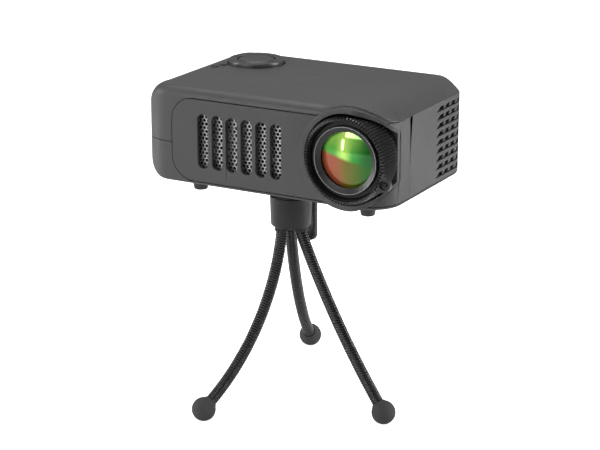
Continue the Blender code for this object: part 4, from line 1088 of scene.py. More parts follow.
    def louvre_row(self, row: int) -> Object:
        """One row's opening: a long thin slot with leaning fins left standing over it."""
        start, end = self.louvre_span
        low = self.louvre_first + row * self.louvre_pitch
        pitch = (end - start) / self.louvre_cells
        ledge, top = low + self.louvre_ledge, low + self.louvre_height
        outline = [(start, low), (end, low), (end, ledge)]
        for cell in reversed(range(self.louvre_cells)):
            left = start + cell * pitch + self.louvre_fin
            right = left + pitch - self.louvre_fin
            if cell:
                outline += [(right, ledge), (right + self.louvre_lean, top)]
                outline += [(left + self.louvre_lean, top), (left, ledge)]
            else:
                outline += [(right, ledge), (right + self.louvre_lean, top), (right - self.louvre_fin, top)]
        return prism(f"louvre_{row}", outline, 0.0, self.places.width)

    def grille_mesh(self, finish: Finish) -> None:
        """Honeycomb sheet behind the front slots."""
        pitch, strand = self.mesh_pitch, self.mesh_strand
        side = self.slot_width / 2 + self.mesh_margin
        x0, x1 = self.slot_first - side, self.slot_first + (self.slot_count - 1) * self.slot_pitch + side
        z0, z1 = self.slot_heights[0] - self.mesh_margin, self.slot_heights[1] + self.mesh_margin
        form = bmesh.new()
        outer = pitch / math.sqrt(3)
        rows = int((z1 - z0 - 2 * outer) / (1.5 * outer)) + 1
        columns = int((x1 - x0 - pitch) / pitch)
        for row in range(rows):
            for column in range(columns):
                cx = x0 + pitch * (column + 0.5 + 0.5 * (row % 2))
                cz = z0 + outer + 1.5 * outer * row
                rim = arc((cx, cz), outer, 30, 330, 5)
                hole = arc((cx, cz), outer - strand, 30, 330, 5)
                rim_verts = [form.verts.new((x, 0.0, z)) for x, z in rim]
                hole_verts = [form.verts.new((x, 0.0, z)) for x, z in hole]
                for i in range(6):
                    j = (i + 1) % 6
                    form.faces.new((rim_verts[i], rim_verts[j], hole_verts[j], hole_verts[i]))
        bmesh.ops.remove_doubles(form, verts=form.verts, dist=MERGE)
        sheet = object_from("intake_honeycomb", form)
        thick = sheet.modifiers.new("sheet", "SOLIDIFY")
        thick.thickness = self.mesh_thickness
        thick.offset = 0.0
        place(baked(sheet), (0.0, self.wall + GAP + self.mesh_depth, 0.0))
        settle(dress(smooth(sheet), finish), self.places, "projector", ["intake_mesh"])

    def rear_panel(self, finish: Finish) -> None:
        """The socket panel, opened round each socket and slotted for the speaker."""
        panel = self.patch("socket_panel", self.rear_zone("rear_area", 0.0))
        deep = (self.places.depth - 3 * self.wall, self.places.depth + self.wall)
        cutters = []
        for node in ("hdmi_socket", "usb_socket", "av_socket", "dc_socket"):
            low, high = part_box(node)
            low, high = low - self.places.origin, high - self.places.origin
            x, z = (low.x - GAP, high.x + GAP), (low.z - GAP, high.z + GAP)
            cutters.append(block(f"hole_{node}", x, deep, z))
        centre = self.places.middle("speaker")
        for i in range(self.sound_slots):
            outline = rounded_slot(*self.sound_slot, 6)
            slot = prism(f"sound_slot_{i}", outline, -4 * self.wall, 4 * self.wall)
            shift = (i - self.sound_slots // 2) * self.sound_pitch
            at = (centre.x + shift, self.places.depth, centre.z)
            cutters.append(place(slot, at, Facing.FRONT))
        soften(carve(panel, *cutters), 0.25 * MM)
        settle(dress(panel, finish), self.places, "projector", ["rear_panel"])


def join_meshes(name: str, pieces: Sequence[Object]) -> Object:
    """Joins separate solids into one object that doesn't weld them."""
    form = bmesh.new()
    for piece in pieces:
        form.from_mesh(piece.data)
        bpy.data.objects.remove(piece)
    return object_from(name, form)


SCREWS = ("case_screw_left_front", "case_screw_left_rear", "case_screw_middle_front", "case_screw_right_rear")
CASE_FEET = (
    "rubber_foot_front_left",
    "rubber_foot_front_right",
    "rubber_foot_rear_left",
    "rubber_foot_rear_right",
)


@dataclass
class CaseTrim:
    """Rubber feet and screws under the case."""

    places: Places

    def feet(self, finish: Finish) -> None:
        """Tapered rubber feet with a rolled lower edge and a dished sole."""
        for node in CASE_FEET:
            centre = self.places.middle(node)
            bottom, top = self.places.levels(node)
            corners = [
                (0.0, top),
                (3.8 * MM, top),
                (3.7 * MM, top - 0.8 * MM),
                (3.1 * MM, bottom),
                (1.9 * MM, bottom),
                (1.6 * MM, bottom + 0.4 * MM),
                (0.0, bottom + 0.4 * MM),
            ]
            profile = rounded_profile(corners, (0, 0.2 * MM, 0.2 * MM, 0.7 * MM, 0.15 * MM, 0.1 * MM, 0))
            foot = place(smooth(lathe(f"{node}_pad", profile, 48), 50), (centre.x, centre.y, 0.0))
            settle(dress(foot, finish), self.places, "projector", [node])

    def screws(self, finish: Finish) -> None:
        """Pan-head screws with a cross recess."""
        for node in SCREWS:
            centre = self.places.middle(node)
            head, end = self.places.levels(node)
            corners = [(0.0, end), (1.2 * MM, end), (1.2 * MM, head + MM)]
            corners += [(2.4 * MM, head + MM), (2.3 * MM, head)]
            profile = rounded_profile([*corners, (0.0, head)], (0, 0.3 * MM, 0, 0.1 * MM, 0.4 * MM, 0))
            screw = lathe(f"{node}_head", profile, 36)
            arm, half = 1.4 * MM, 0.3 * MM
            deep = (head - MM, head + 0.7 * MM)
            carve(
                screw,
                block("cross_a", (-arm, arm), (-half, half), deep),
                block("cross_b", (-half, half), (-arm, arm), deep),
            )
            place(smooth(screw), (centre.x, centre.y, 0.0))
            settle(dress(screw, finish), self.places, "projector", [node])


# Controls --------------------------------------------------------------------------------------------


@dataclass
class ControlPad:
    """Rocker ring, OK button and two small keys on the top."""

    places: Places
    radius: float = 13.3 * MM
    ok_radius: float = 8.75 * MM
    rise: float = 2.2 * MM
    thickness: float = 3.8 * MM
    key_radius: float = 1.5 * MM

    def ring(self, finish: Finish) -> None:
        """The rocker ring: a shallow dished band between two rounded rims, with four direction dimples."""
        top = self.places.height + self.rise
        low = top - self.thickness
        inner = self.ok_radius + 0.4 * MM
        corners = [
            (inner, low),
            (inner, top - 0.1 * MM),
            (inner + 1.4 * MM, top - 0.5 * MM),
            (self.radius - 1.2 * MM, top - 0.35 * MM),
            (self.radius - 0.4 * MM, top - 0.1 * MM),
            (self.radius, top - 1.0 * MM),
            (self.radius, low),
        ]
        radii = (0, 0.25 * MM, 0.6 * MM, 0.6 * MM, 0.3 * MM, 0.3 * MM, 0)
        ring = lathe("rocker_ring", rounded_profile(corners, radii, 5), 128)
        marks = []
        middle = (inner + self.radius) / 2
        for i in range(4):
            mark = disc(f"dimple_{i}", 0.55 * MM, top - 0.7 * MM, top + MM, 20)
            angle = FULL_TURN * i / 4
            marks.append(place(mark, (middle * math.cos(angle), middle * math.sin(angle), 0.0)))
        smooth(carve(ring, *marks), 40)
        place(ring, (self.places.pad.x, self.places.pad.y, 0.0))
        settle(dress(ring, finish), self.places, "nav_ring", ["nav_ring"])

    def ok(self, finish: Finish) -> None:
        """The round button in the middle, slightly dished."""
        top = self.places.height + self.rise - 0.1 * MM
        low = top - self.thickness - 0.5 * MM
        rim = self.ok_radius
        corners = [(0.0, top - 0.35 * MM), (rim - 2.2 * MM, top - 0.2 * MM)]
        corners += [(rim - 0.9 * MM, top), (rim, top - 0.5 * MM)]
        radii = (0, 1.2 * MM, 0.35 * MM, 0.35 * MM, 0.1 * MM, 0)
        button = lathe("ok_key", rounded_profile([*corners, (rim, low), (0.0, low)], radii, 5), 96)
        place(smooth(button, 50), (self.places.pad.x, self.places.pad.y, 0.0))
        settle(dress(button, finish), self.places, "ok_button", ["ok_button"])

    def keys(self, finish: Finish) -> None:
        """The two domed keys beside the pad."""
        for node, spot in self.places.keys.items():
            bottom, top = self.places.levels(node)
            radius, crown = self.key_radius, 0.45 * MM
            dome = [(radius * math.sin(a), top - crown * (1 - math.cos(a))) for a in steps_to(1.45, 8)]
            profile = [*dome, (radius, top - 0.6 * MM), (radius, bottom), (0.0, bottom)]
            key = place(smooth(lathe(f"{node}_cap", profile, 40), 50), (spot.x, spot.y, 0.0))
            settle(dress(key, finish), self.places, node, [node])


def steps_to(end: float, count: int) -> list[float]:
    """Even steps from 0 to an end value, ends included."""
    return [end * i / count for i in range(count + 1)]


# Lens ------------------------------------------------------------------------------------------------


@dataclass
class LensSet:
    """Focus ring, retainer with its black cone, and front lens; the retainer and the lens ride on the barrel.
    """

    places: Places
    ring_radius: float = 19.7 * MM
    ring_inner: float = 17.6 * MM
    ring_front: float = 7.0 * MM
    ring_back: float = -10.4 * MM
    ring_taper: float = 1.9 * MM
    teeth: int = 84
    tooth_depth: float = 1.15 * MM
    tab_angle: float = -22.0
    tab_reach: float = 20.6 * MM
    tab_radius: float = 3.6 * MM
    tab_hole: float = 2.0 * MM
    tab_hole_reach: float = 21.2 * MM
    glass_radius: float = 13.0 * MM
    barrel_radius: float = 15.2 * MM

    def centre(self) -> tuple[float, float, float]:
        """A point on the lens axis at the case's front face."""
        return (self.places.lens.x, 0.0, self.places.lens.z)

    def knurl(self, radius: float, height: float, angle: float) -> Pair:
        """Pulls the ring's rim in between its teeth."""
        edge = self.ring_radius - 1.7 * MM
        if height > self.ring_front - 1.7 * MM:
            fade = min(max((radius - edge) / (0.5 * MM), 0.0), 1.0)
        else:
            fade = 1.0 if radius > self.ring_radius - self.ring_taper - 0.1 * MM else 0.0
        wave = 0.5 - 0.5 * math.cos(self.teeth * angle)
        return radius - self.tooth_depth * fade * wave**0.8, height

    def focus_ring(self, finish: Finish, pin: Finish) -> None:
        """The knurled ring with its finger tab, whose eye holds a dark pin coloured black as painted shade.
        """
        rim, front = self.ring_radius, self.ring_front
        corners = [
            (self.ring_inner, self.ring_back),
            (self.ring_inner, front - 1.6 * MM),
            (rim - 1.6 * MM, front - 0.15 * MM),
            (rim - 0.9 * MM, front),
            (rim - 0.45 * MM, front - 0.35 * MM),
            (rim, front - 1.0 * MM),
            (rim, front - 1.5 * MM),
            (rim, self.ring_back + 5.5 * MM),
            (rim - 0.3 * self.ring_taper, self.ring_back + 2.8 * MM),
            (rim - self.ring_taper, self.ring_back),
        ]
        ring = smooth(lathe("knurled_ring", corners, self.teeth * 6, self.knurl), 32)
        ring = join_meshes("focus_grip", [ring, self.tab()])
        place(smooth(ring, 32), self.centre(), Facing.FRONT)
        settle(dress(ring, finish), self.places, "focus_ring", ["focus_ring"])
        self.tab_pin_shade(pin)

    def tab_pin_shade(self, finish: Finish) -> None:
        """The recessed pin in the finger tab's eye, coloured black as painted shade for the shadow in the
        eye.
        """
        radius, face = self.tab_hole - 0.05 * MM, self.ring_front - 1.5 * MM
        profile = [(0.0, face + 0.35 * MM), (0.8 * MM, face + 0.2 * MM), (1.1 * MM, face - 0.2 * MM)]
        profile += [(radius, face), (radius, face - 1.1 * MM), (0.0, face - 1.1 * MM)]
        # Painted shade: the pin's black colour stands for the shadow inside the tab's eye.
        pin = lathe("tab_pin_shade", profile, 32)
        pin.data.transform(self.tab_turn() @ Matrix.Translation((self.tab_hole_reach, 0.0, 0.0)))
        place(smooth(pin, 40), self.centre(), Facing.FRONT)
        settle(dress(pin, finish), self.places, "focus_ring")

    def tab_turn(self) -> Matrix:
        """The turn from +X to the finger tab."""
        return Matrix.Rotation(math.radians(self.tab_angle), 4, "Z")

    def tab(self) -> Object:
        """The flat ear that the finger pushes."""
        radius, reach = self.tab_radius, self.tab_reach
        inner = self.ring_inner + MM
        outline = [(inner, -radius - MM), (reach - MM, -radius), *arc((reach, 0.0), radius, -80, 80, 16)]
        outline += [(reach - MM, radius), (inner, radius + MM)]
        tab = prism("finger_tab", outline, self.ring_front - 2.7 * MM, self.ring_front - 0.1 * MM)
        hole = disc("tab_eye", self.tab_hole, -2 * self.ring_front, 2 * self.ring_front, 32)
        carve(tab, place(hole, (self.tab_hole_reach, 0.0, 0.0)))
        soften(tab, 0.4 * MM, 3)
        tab.data.transform(self.tab_turn())
        return tab

    def retainer(self, finish: Finish, cone: Finish) -> None:
        """The bright-edged ring that holds the glass, and the black stepped cone inside it."""
        low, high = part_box("lens_retainer")
        front = self.places.origin.y - low.y
        back = self.places.origin.y - high.y
        rim = self.barrel_radius
        lip = self.glass_radius - 0.4 * MM
        brim = rim - 0.35 * MM
        corners = [
            (lip, back),
            (lip, back + 0.3 * MM),
            (lip + 0.3 * MM, back + 0.45 * MM),
            (brim - 0.1 * MM, front - 0.35 * MM),
            (brim, front),
            (rim - 0.15 * MM, front),
            (rim, front - 0.15 * MM),
            (rim, back),
        ]
        ring = smooth(lathe("glass_retainer", corners, 128), 40)
        dress(ring, finish)
        ring.data.materials.append(cone.material())
        for face in ring.data.polygons:
            radius = math.hypot(face.center.x, face.center.y)
            face.material_index = int(radius < brim - 0.15 * MM)
        place(ring, self.centre(), Facing.FRONT)
        settle(ring, self.places, "lens_barrel", ["lens_retainer"])

    def front_glass(self, finish: Finish) -> None:
        """The coated front lens, whose colour carries painted reflections and painted shade."""
        low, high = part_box("front_lens")
        front = self.places.origin.y - low.y
        back = self.places.origin.y - high.y
        edge_front, edge_back = front - 2.2 * MM, back + 1.2 * MM
        dome = self.bulge(edge_front, front - edge_front)
        hollow = self.bulge(edge_back, back - edge_back)
        glass = smooth(lathe("coated_front_lens", dome + hollow[::-1], 96), 40)
        place(glass, self.centre(), Facing.FRONT)
        settle(dress(glass, finish), self.places, "lens_barrel", ["front_lens"])

    def bulge(self, edge: float, rise: float, steps: int = 14) -> Outline:
        """Half the section of a spherical face, from its middle to its edge."""
        shares = steps_to(1.0, steps)
        return [(self.glass_radius * share, edge + rise * (1 - share**2)) for share in shares]


# Ball head -------------------------------------------------------------------------------------------


@dataclass
class BallHead:
    """Tripod head: body, hub with ferrules, clamp lever, and the stud with its platform and ball."""

    places: Places
    ball_radius: float = 6.0 * MM
    top_radius: float = 10.0 * MM
    base_radius: float = 9.5 * MM
    rim: float = 3.3 * MM
    base: float = -11.3 * MM
    bore: float = 8.2 * MM
    lever_azimuth: float = 70.0
    lever_width: float = 7.6 * MM
    lever_length: float = 21.5 * MM
    lever_near: float = 11.4 * MM
    lever_thickness: float = 2.2 * MM
    plug_radius: float = 7.8 * MM
    ferrule_radius: float = 3.35 * MM
    flutes: int = 15
    flute_depth: float = 0.28 * MM
    knurls: int = 32
    knurl_depth: float = 0.25 * MM
    platform_radius: float = 9.0 * MM
    thread_pitch: float = 1.27 * MM

    def body(self, finish: Finish) -> None:
        """The tapered barrel with rolled edges."""
        mouth = math.sqrt(self.ball_radius**2 - self.rim**2) + GAP
        corners = [
            (self.bore, self.base + 1.4 * MM),
            (self.bore + 0.3 * MM, self.base),
            (self.base_radius, self.base),
            (self.top_radius, self.rim),
            (mouth, self.rim),
            (mouth + 0.5 * MM, self.rim - 0.9 * MM),
            (self.bore, self.rim - 1.8 * MM),
        ]
        profile = rounded_profile(corners, (0, 0.3 * MM, 1.1 * MM, 0.7 * MM, 0.3 * MM, 0, 0), 6)
        head = lathe("head_barrel", profile, 96)
        way = disc("clamp_way", 1.8 * MM, 0.0, 2 * self.top_radius, 32)
        way.data.transform(self.lever_turn())
        place(smooth(carve(head, way), 40), self.places.ball)
        settle(dress(head, finish), self.places, "tripod_head", ["head_body"])

    def hub(self, finish: Finish, roots: Sequence[Vector]) -> None:
        """The plug under the head, with a fluted ferrule round each leg's root.

        Args:
            finish: The plug's finish.
            roots: Where the legs leave the head, in the frame.
        """
        floor, radius = self.base + GAP, self.plug_radius
        top = floor + 2 * MM
        plug = lathe("leg_hub_plug", [(0.0, top), (radius, top), (radius, floor), (0.0, floor)])
        for i, root in enumerate(roots):
            at = root - self.places.origin - self.places.ball
            low, high = at.z + 0.2 * MM, floor + MM
            outer = self.ferrule_radius
            corners = [(0.0, high), (outer, high), (outer, low + 0.5 * MM), (3.0 * MM, low), (0.0, low)]
            sleeve = lathe(f"ferrule_{i}", corners, 120, self.flute)
            weld(plug, place(sleeve, (at.x, at.y, 0.0)))
        place(smooth(plug, 40), self.places.ball)
        settle(dress(plug, finish), self.places, "tripod_head", ["leg_hub"])

    def flute(self, radius: float, height: float, angle: float) -> Pair:
        """Narrow upright grooves round a ferrule."""
        return radius - self.flute_depth * (0.5 - 0.5 * math.cos(self.flutes * angle)) ** 2, height

    def lever_turn(self) -> Matrix:
        """The turn from +Z to the clamp screw's axis."""
        azimuth = Matrix.Rotation(math.radians(self.lever_azimuth), 4, "Z")
        return azimuth @ Matrix.Rotation(math.pi / 2, 4, "Y")

    def lever(self, finish: Finish) -> None:
        """Clamp screw and paddle with a rounded rim."""
        half = self.lever_width / 2
        tip = (self.lever_length - half, 0.0)
        outline = arc(tip, half, -90, 90, 20) + arc((0.0, 0.0), half, 90, 270, 20)
        near, far = self.lever_near, self.lever_near + self.lever_thickness
        paddle = prism("clamp_lever", outline, near, far)
        inset = half - 1.1 * MM
        panel = arc(tip, inset, -90, 90, 20) + arc((half, 0.0), inset, 90, 270, 20)
        carve(paddle, prism("lever_dish", panel, near - MM, near + 0.5 * MM))
        soften(paddle, 0.5 * MM, 4)
        corners = [(0.0, far + 0.4 * MM), (2.4 * MM, far + 0.4 * MM), (3.0 * MM, far - 0.2 * MM)]
        corners += [(3.0 * MM, near - MM), (1.5 * MM, near - MM), (1.5 * MM, 8.5 * MM), (0.0, 8.5 * MM)]
        profile = rounded_profile(corners, (0, 0.3 * MM, 0.3 * MM, 0, 0, 0, 0))
        weld(paddle, lathe("clamp_screw", profile, 48))
        paddle.data.transform(self.lever_turn())
        place(smooth(paddle, 40), self.places.ball)
        settle(dress(paddle, finish), self.places, "lock_lever", ["lock_lever"])

    def stud(self, finish: Finish) -> None:
        """Ball, neck, knurled platform and threaded stud, turned from one bar."""
        top = self.places.levels("ball_stud")[1] - self.places.ball.z
        platform = -self.places.ball.z - GAP
        under, edge = platform - 3.0 * MM, self.platform_radius
        start = math.asin(2.8 * MM / self.ball_radius)
        turns = [start + (math.pi - start) * i / 24 for i in range(24)]
        ball = [(self.ball_radius * math.sin(a), self.ball_radius * math.cos(a)) for a in turns]
        corners = [
            (0.0, -self.ball_radius),
            *ball[::-1],
            (2.8 * MM, under - 0.6 * MM),
            (3.4 * MM, under),
            (edge - 0.6 * MM, under),
            (edge, under + 0.6 * MM),
            (edge, platform - 0.5 * MM),
            (edge - 0.5 * MM, platform),
            (3.1 * MM, platform),
        ]
        pitch = self.thread_pitch
        level = platform + 0.6 * MM
        while level + pitch < top - 0.5 * MM:
            corners += [(3.1 * MM, level), (2.6 * MM, level + pitch / 2)]
            level += pitch
        corners += [(2.7 * MM, top - 0.3 * MM), (2.3 * MM, top), (0.0, top)]
        stud = smooth(lathe("ball_and_stud", corners, 96, self.platform_knurl), 35)
        place(stud, self.places.ball)
        settle(dress(stud, finish), self.places, "projector", ["ball_stud"])

    def platform_knurl(self, radius: float, height: float, angle: float) -> Pair:
        """Shallow straight knurl on the platform's edge."""
        if radius < self.platform_radius - 0.1 * MM:
            return radius, height
        return radius - self.knurl_depth * (0.5 - 0.5 * math.cos(self.knurls * angle)), height


# Gooseneck legs --------------------------------------------------------------------------------------


@dataclass
class GooseneckLeg:
    """One leg: a wound steel coil on a circular arc through its knuckles, with a rubber ball foot."""

    places: Places
    name: str
    knuckles: list[Vector]
    outward: Vector
    foot: Vector
    radius: float = 2.8 * MM
    coil_pitch: float = 1.2 * MM
    coil_depth: float = 0.4 * MM
    samples: int = 7
    sides: int = 20
    root: float = 2.6 * MM
    foot_radius: float = 5.6 * MM
    foot_flat: float = 5.4 * MM
    foot_depth: float = 3.6 * MM

    @classmethod
    def read(cls, places: Places, name: str, joints: Sequence[dict]) -> "GooseneckLeg":
        """Finds a leg's knuckles and lean in the frame's joints.

        Args:
            places: Where the case is.
            name: The leg's name.
            joints: The frame's joints.

        Returns:
            The leg.
        """
        mine = [j for j in joints if j["name"].startswith(f"leg_{name}_bend")]
        mine.sort(key=lambda joint: joint["name"])
        axis = Vector(mine[0]["axis"])
        low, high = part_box(f"ball_foot_{name}")
        foot = (low + high) / 2
        foot.z = low.z + cls.foot_flat
        return cls(places, name, [Vector(j["pos_m"]) for j in mine], Vector((-axis.y, axis.x, 0.0)), foot)

    def link(self) -> float:
        """Distance from one knuckle to the next."""
        return (self.knuckles[1] - self.knuckles[0]).length

    def lean(self, first: Vector, second: Vector) -> float:
        """Angle of a link from straight down."""
        way = second - first
        return math.atan2(way.dot(self.outward), -way.z)

    def centre_line(self) -> list[tuple[Vector, Vector]]:
        """Points down the leg with their directions, at even steps, from inside the head to the foot."""
        first = self.lean(self.knuckles[0], self.knuckles[1])
        bend = self.lean(self.knuckles[1], self.knuckles[2]) - first
        start = first - bend / 2
        curve = 2 * math.sin(bend / 2) / self.link()
        step = self.coil_pitch / self.samples
        arc_length = 3 * bend / curve - self.foot_depth
        line: list[tuple[Vector, Vector]] = []
        point = self.knuckles[0].copy()
        for i in range(1, int(self.root / step) + 1):
            angle = start * (1 - i * step / self.root)
            way = self.direction(angle)
            point = point - way * step
            line.insert(0, (point.copy(), way))
        count = int(arc_length / step)
        for i in range(count + 1):
            angle = start + curve * i * step
            across = (math.cos(start) - math.cos(angle)) / curve
            down = (math.sin(angle) - math.sin(start)) / curve
            where = self.knuckles[0] + self.outward * across - Vector((0, 0, down))
            line.append((where, self.direction(angle)))
        return line

    def direction(self, angle: float) -> Vector:
        """The way down the leg at an angle from straight down."""
        return self.outward * math.sin(angle) - Vector((0, 0, math.cos(angle)))

    def coil(self, finish: Finish) -> None:
        """The wound coil in three lengths, each bending over one knuckle."""
        line = self.centre_line()
        step = self.coil_pitch / self.samples
        above = int(self.root / step)
        per_link = (len(line) - 1 - above + self.foot_depth / step) / 3
        breaks = [0, above + int(per_link / 2), above + int(1.5 * per_link), len(line) - 1]
        side = self.direction(0.0).cross(self.outward)
        for i in range(3):
            piece = self.wound_length(f"gooseneck_{self.name}_{i + 1}", line, breaks[i], breaks[i + 1], side)
            dress(smooth(piece, 60), finish)
            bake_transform(piece)
            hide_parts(f"leg_{self.name}_{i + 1}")
            LOG.info("%s bends over knuckle %d, %d faces", piece.name, i + 1, len(piece.data.polygons))

    def wound_length(
        self, name: str, line: list[tuple[Vector, Vector]], start: int, end: int, side: Vector
    ) -> Object:
        """A closed length of coil between two stations of the centre line."""
        form = bmesh.new()
        rings = []
        for k in range(start, end + 1):
            point, way = line[k]
            up = way.cross(side).normalized()
            ring = []
            for i in range(self.sides):
                angle = FULL_TURN * i / self.sides
                phase = (k / self.samples + i / self.sides) % 1.0
                wire = math.sqrt(max(0.0, 1 - (2 * phase - 1) ** 2))
                radius = self.radius - self.coil_depth * (1 - wire)
                ring.append(form.verts.new(point + (side * math.cos(angle) + up * math.sin(angle)) * radius))
            rings.append(ring)
        for first, second in zip(rings, rings[1:]):
            for i in range(self.sides):
                j = (i + 1) % self.sides
                form.faces.new((first[i], first[j], second[j], second[i]))
        form.faces.new(rings[0][::-1])
        form.faces.new(rings[-1])
        return object_from(name, form)

    def ball(self, finish: Finish) -> None:
        """The rubber ball foot, moulded over the coil's end, with a short collar."""
        line = self.centre_line()
        end, way = line[-1]
        up = -way
        turn = Vector((0, 0, 1)).rotation_difference(up).to_matrix().to_4x4()
        collar = 3.5 * MM
        start = math.asin(collar / self.foot_radius)
        turns = [start + (math.pi - start) * i / 40 for i in range(41)]
        sphere = [(self.foot_radius * math.sin(a), self.foot_radius * math.cos(a)) for a in turns]
        sphere[-1] = (0.0, -self.foot_radius)
        neck = self.foot_radius * math.cos(start)
        hole = self.radius + 0.05 * MM
        floor = 1.6 * MM
        lip = [(0.0, floor), (hole, floor), (hole, neck + 0.5 * MM), (collar - 0.2 * MM, neck + 0.55 * MM)]
        foot = lathe(f"ball_foot_{self.name}_rubber", lip + sphere, 72)
        foot.data.transform(Matrix.Translation(self.foot) @ turn)
        floor_z = self.foot.z - self.foot_flat
        for vertex in foot.data.vertices:
            vertex.co.z = max(vertex.co.z, floor_z)
        dress(smooth(foot, 40), finish)
        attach(foot, f"leg_{self.name}_3")
        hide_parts(f"ball_foot_{self.name}")
        LOG.info("%s rides on leg_%s_3", foot.name, self.name)


# Studio ----------------------------------------------------------------------------------------------


@dataclass(frozen=True)
class Softbox:
    """One large soft light."""

    name: str
    at: tuple[float, float, float]
    size: Pair
    power: float

    def hang(self, target: Vector) -> None:
        """Hangs the light and points it at a target."""
        lamp = bpy.data.lights.new(self.name, "AREA")
        lamp.shape = "RECTANGLE"
        lamp.size, lamp.size_y = self.size
        lamp.energy = self.power
        made = bpy.data.objects.new(self.name, lamp)
        made.location = self.at
        made.rotation_euler = (target - Vector(self.at)).to_track_quat("-Z", "Y").to_euler()
        bpy.context.scene.collection.objects.link(made)


@dataclass
class Studio:
    """Pale floor, soft light and the camera."""

    places: Places
    azimuth: float = 28.78
    elevation: float = 17.29
    roll: float = 0.12
    lens: float = 118.5
    camera_at: tuple[float, float, float] = (423.86 * MM, -733.53 * MM, 249.42 * MM)

    def camera(self) -> None:
        """Sets the camera at its place over the case."""
        data = bpy.data.cameras.new("camera")
        data.lens = self.lens
        data.sensor_width = 36.0
        data.clip_start = 0.01
        made = bpy.data.objects.new("camera", data)
        a, e = math.radians(self.azimuth), math.radians(self.elevation)
        back = Vector((math.sin(a) * math.cos(e), -math.cos(a) * math.cos(e), math.sin(e)))
        turn = back.to_track_quat("Z", "Y").to_matrix().to_4x4()
        roll = Matrix.Rotation(math.radians(self.roll), 4, "Z")
        made.matrix_world = Matrix.Translation(self.places.origin + Vector(self.camera_at)) @ turn @ roll
        bpy.context.scene.collection.objects.link(made)
        bpy.context.scene.camera = made

    def floor(self) -> None:
        """A wide pale floor that fades into the background."""
        form = bmesh.new()
        bmesh.ops.create_grid(form, x_segments=8, y_segments=8, size=4.0)
        floor = object_from("floor", form)
        sheet = PAPER.material()
        wires = Wiring(sheet.node_tree)
        shader = sheet.node_tree.nodes["Principled BSDF"]
        shader.inputs["Emission Color"].default_value = (1.0, 1.0, 1.0, 1.0)
        seen = wires.add("ShaderNodeLightPath").outputs["Is Camera Ray"]
        wires.join(wires.maths("MULTIPLY", seen, 0.8), shader.inputs["Emission Strength"])
        floor.data.materials.append(sheet)

    def lights(self) -> None:
        """Overhead softbox, two side strips and a low front fill, in a pale room."""
        target = Vector((0.0, 0.0, 0.1))
        for light in (
            Softbox("overhead", (0.0, 0.12, 0.95), (0.9, 0.7), 9.0),
            Softbox("front_fill", (-0.25, -1.25, 0.6), (0.8, 0.4), 9.0),
            Softbox("catch_strip", (-0.5, -0.9, 0.17), (0.05, 0.2), 0.5),
            Softbox("left_strip", (-0.85, -0.3, 0.3), (0.1, 0.7), 5.0),
            Softbox("right_strip", (0.78, 0.43, 0.3), (0.05, 0.7), 8.0),
        ):
            light.hang(target)
        world = bpy.data.worlds.new("pale_room")
        world.use_nodes = True
        bpy.context.scene.world = world
        wires = Wiring(world.node_tree)
        background = world.node_tree.nodes["Background"]
        seen = wires.add("ShaderNodeLightPath").outputs["Is Camera Ray"]
        split = wires.add("ShaderNodeSeparateXYZ")
        wires.join(wires.add("ShaderNodeTexCoord").outputs["Generated"], split.inputs[0])
        sky = wires.ramp(split.outputs["Z"], 0.15, 0.8, (0.3, 0.12))
        wires.join(wires.maths("MAXIMUM", sky, seen), background.inputs["Strength"])
        background.inputs["Color"].default_value = (1.0, 1.0, 1.0, 1.0)
        bpy.context.scene.view_settings.view_transform = "Standard"


# Assembly --------------------------------------------------------------------------------------------

CHARCOAL: Colour = (0.03, 0.03, 0.0305)
CASE = Finish("charcoal_moulding", CHARCOAL, 0.5, grain=3200.0, depth=0.03 * MM, strength=0.35)
KEYS = Finish("key_moulding", (0.026, 0.026, 0.0265), 0.36, grain=3600.0, strength=0.25, dust=0.03)
GRIP = Finish(
    "grip_moulding", (0.014, 0.014, 0.0145), 0.3,
    grain=3000.0, strength=0.2, dust=0.01, specular=0.35,
)
BLACK = Finish(
    "black_moulding", (0.008, 0.008, 0.0085), 0.38,
    grain=3000.0, strength=0.3, dust=0.01, specular=0.25,
)
CONE = Finish(
    "baffle_black", (0.012, 0.012, 0.0125), 0.33,
    grain=4000.0, strength=0.3, dust=0.01, specular=0.35,
)
RUBBER = Finish("soft_rubber", (0.012, 0.012, 0.012), 0.65, grain=2400.0, strength=0.6, dust=0.12)
BALL_RUBBER = Finish(
    "ball_rubber", (0.02, 0.02, 0.0188), 0.5,
    grain=2400.0, strength=0.5, dust=0.04, specular=0.4,
)
HEAD = Finish(
    "head_enamel", (0.008, 0.008, 0.0085), 0.34,
    grain=3400.0, strength=0.3, dust=0.01, specular=0.3,
)
LEVER = Finish("lever_gloss", (0.006, 0.006, 0.0065), 0.28, grain=3000.0, strength=0.2, dust=0.03)
COIL = Finish("black_coil", (0.025, 0.025, 0.026), 0.2, metallic=0.7, grain=3000.0, strength=0.2, dust=0.0)
NYLON = Finish("natural_nylon", (0.68, 0.67, 0.62), 0.5, grain=1800.0, strength=0.2)
MESH_METAL = Finish(
    "mesh_metal", (0.009, 0.009, 0.009), 0.5,
    grain=3000.0, strength=0.2, dust=0.0, specular=0.2,
)
STEEL = Finish("pressed_steel", (0.55, 0.55, 0.56), 0.3, metallic=1.0, grain=1500.0, strength=0.15)
SCREW = Finish("blackened_steel", (0.12, 0.12, 0.125), 0.35, metallic=1.0, grain=2000.0, strength=0.2)
SINK = Finish("plain_aluminium", (0.62, 0.63, 0.64), 0.4, metallic=1.0, grain=1200.0, strength=0.3)
SPEAKER = Finish("speaker_steel", (0.2, 0.2, 0.21), 0.4, metallic=0.8, grain=1500.0)
BOARD = BoardFinish("solder_mask", (0.01, 0.09, 0.035), 0.35, strength=0.2)
BRASS = TurnedFinish("turned_brass", (0.75, 0.55, 0.24), 0.25, metallic=1.0, strength=0.2)
CHROME = TurnedFinish("turned_steel", (0.5, 0.5, 0.51), 0.18, metallic=1.0, strength=0.1)
RIM = TurnedFinish("turned_rim", (0.28, 0.28, 0.29), 0.25, metallic=1.0, strength=0.1, axis="Y", dust=0.0)
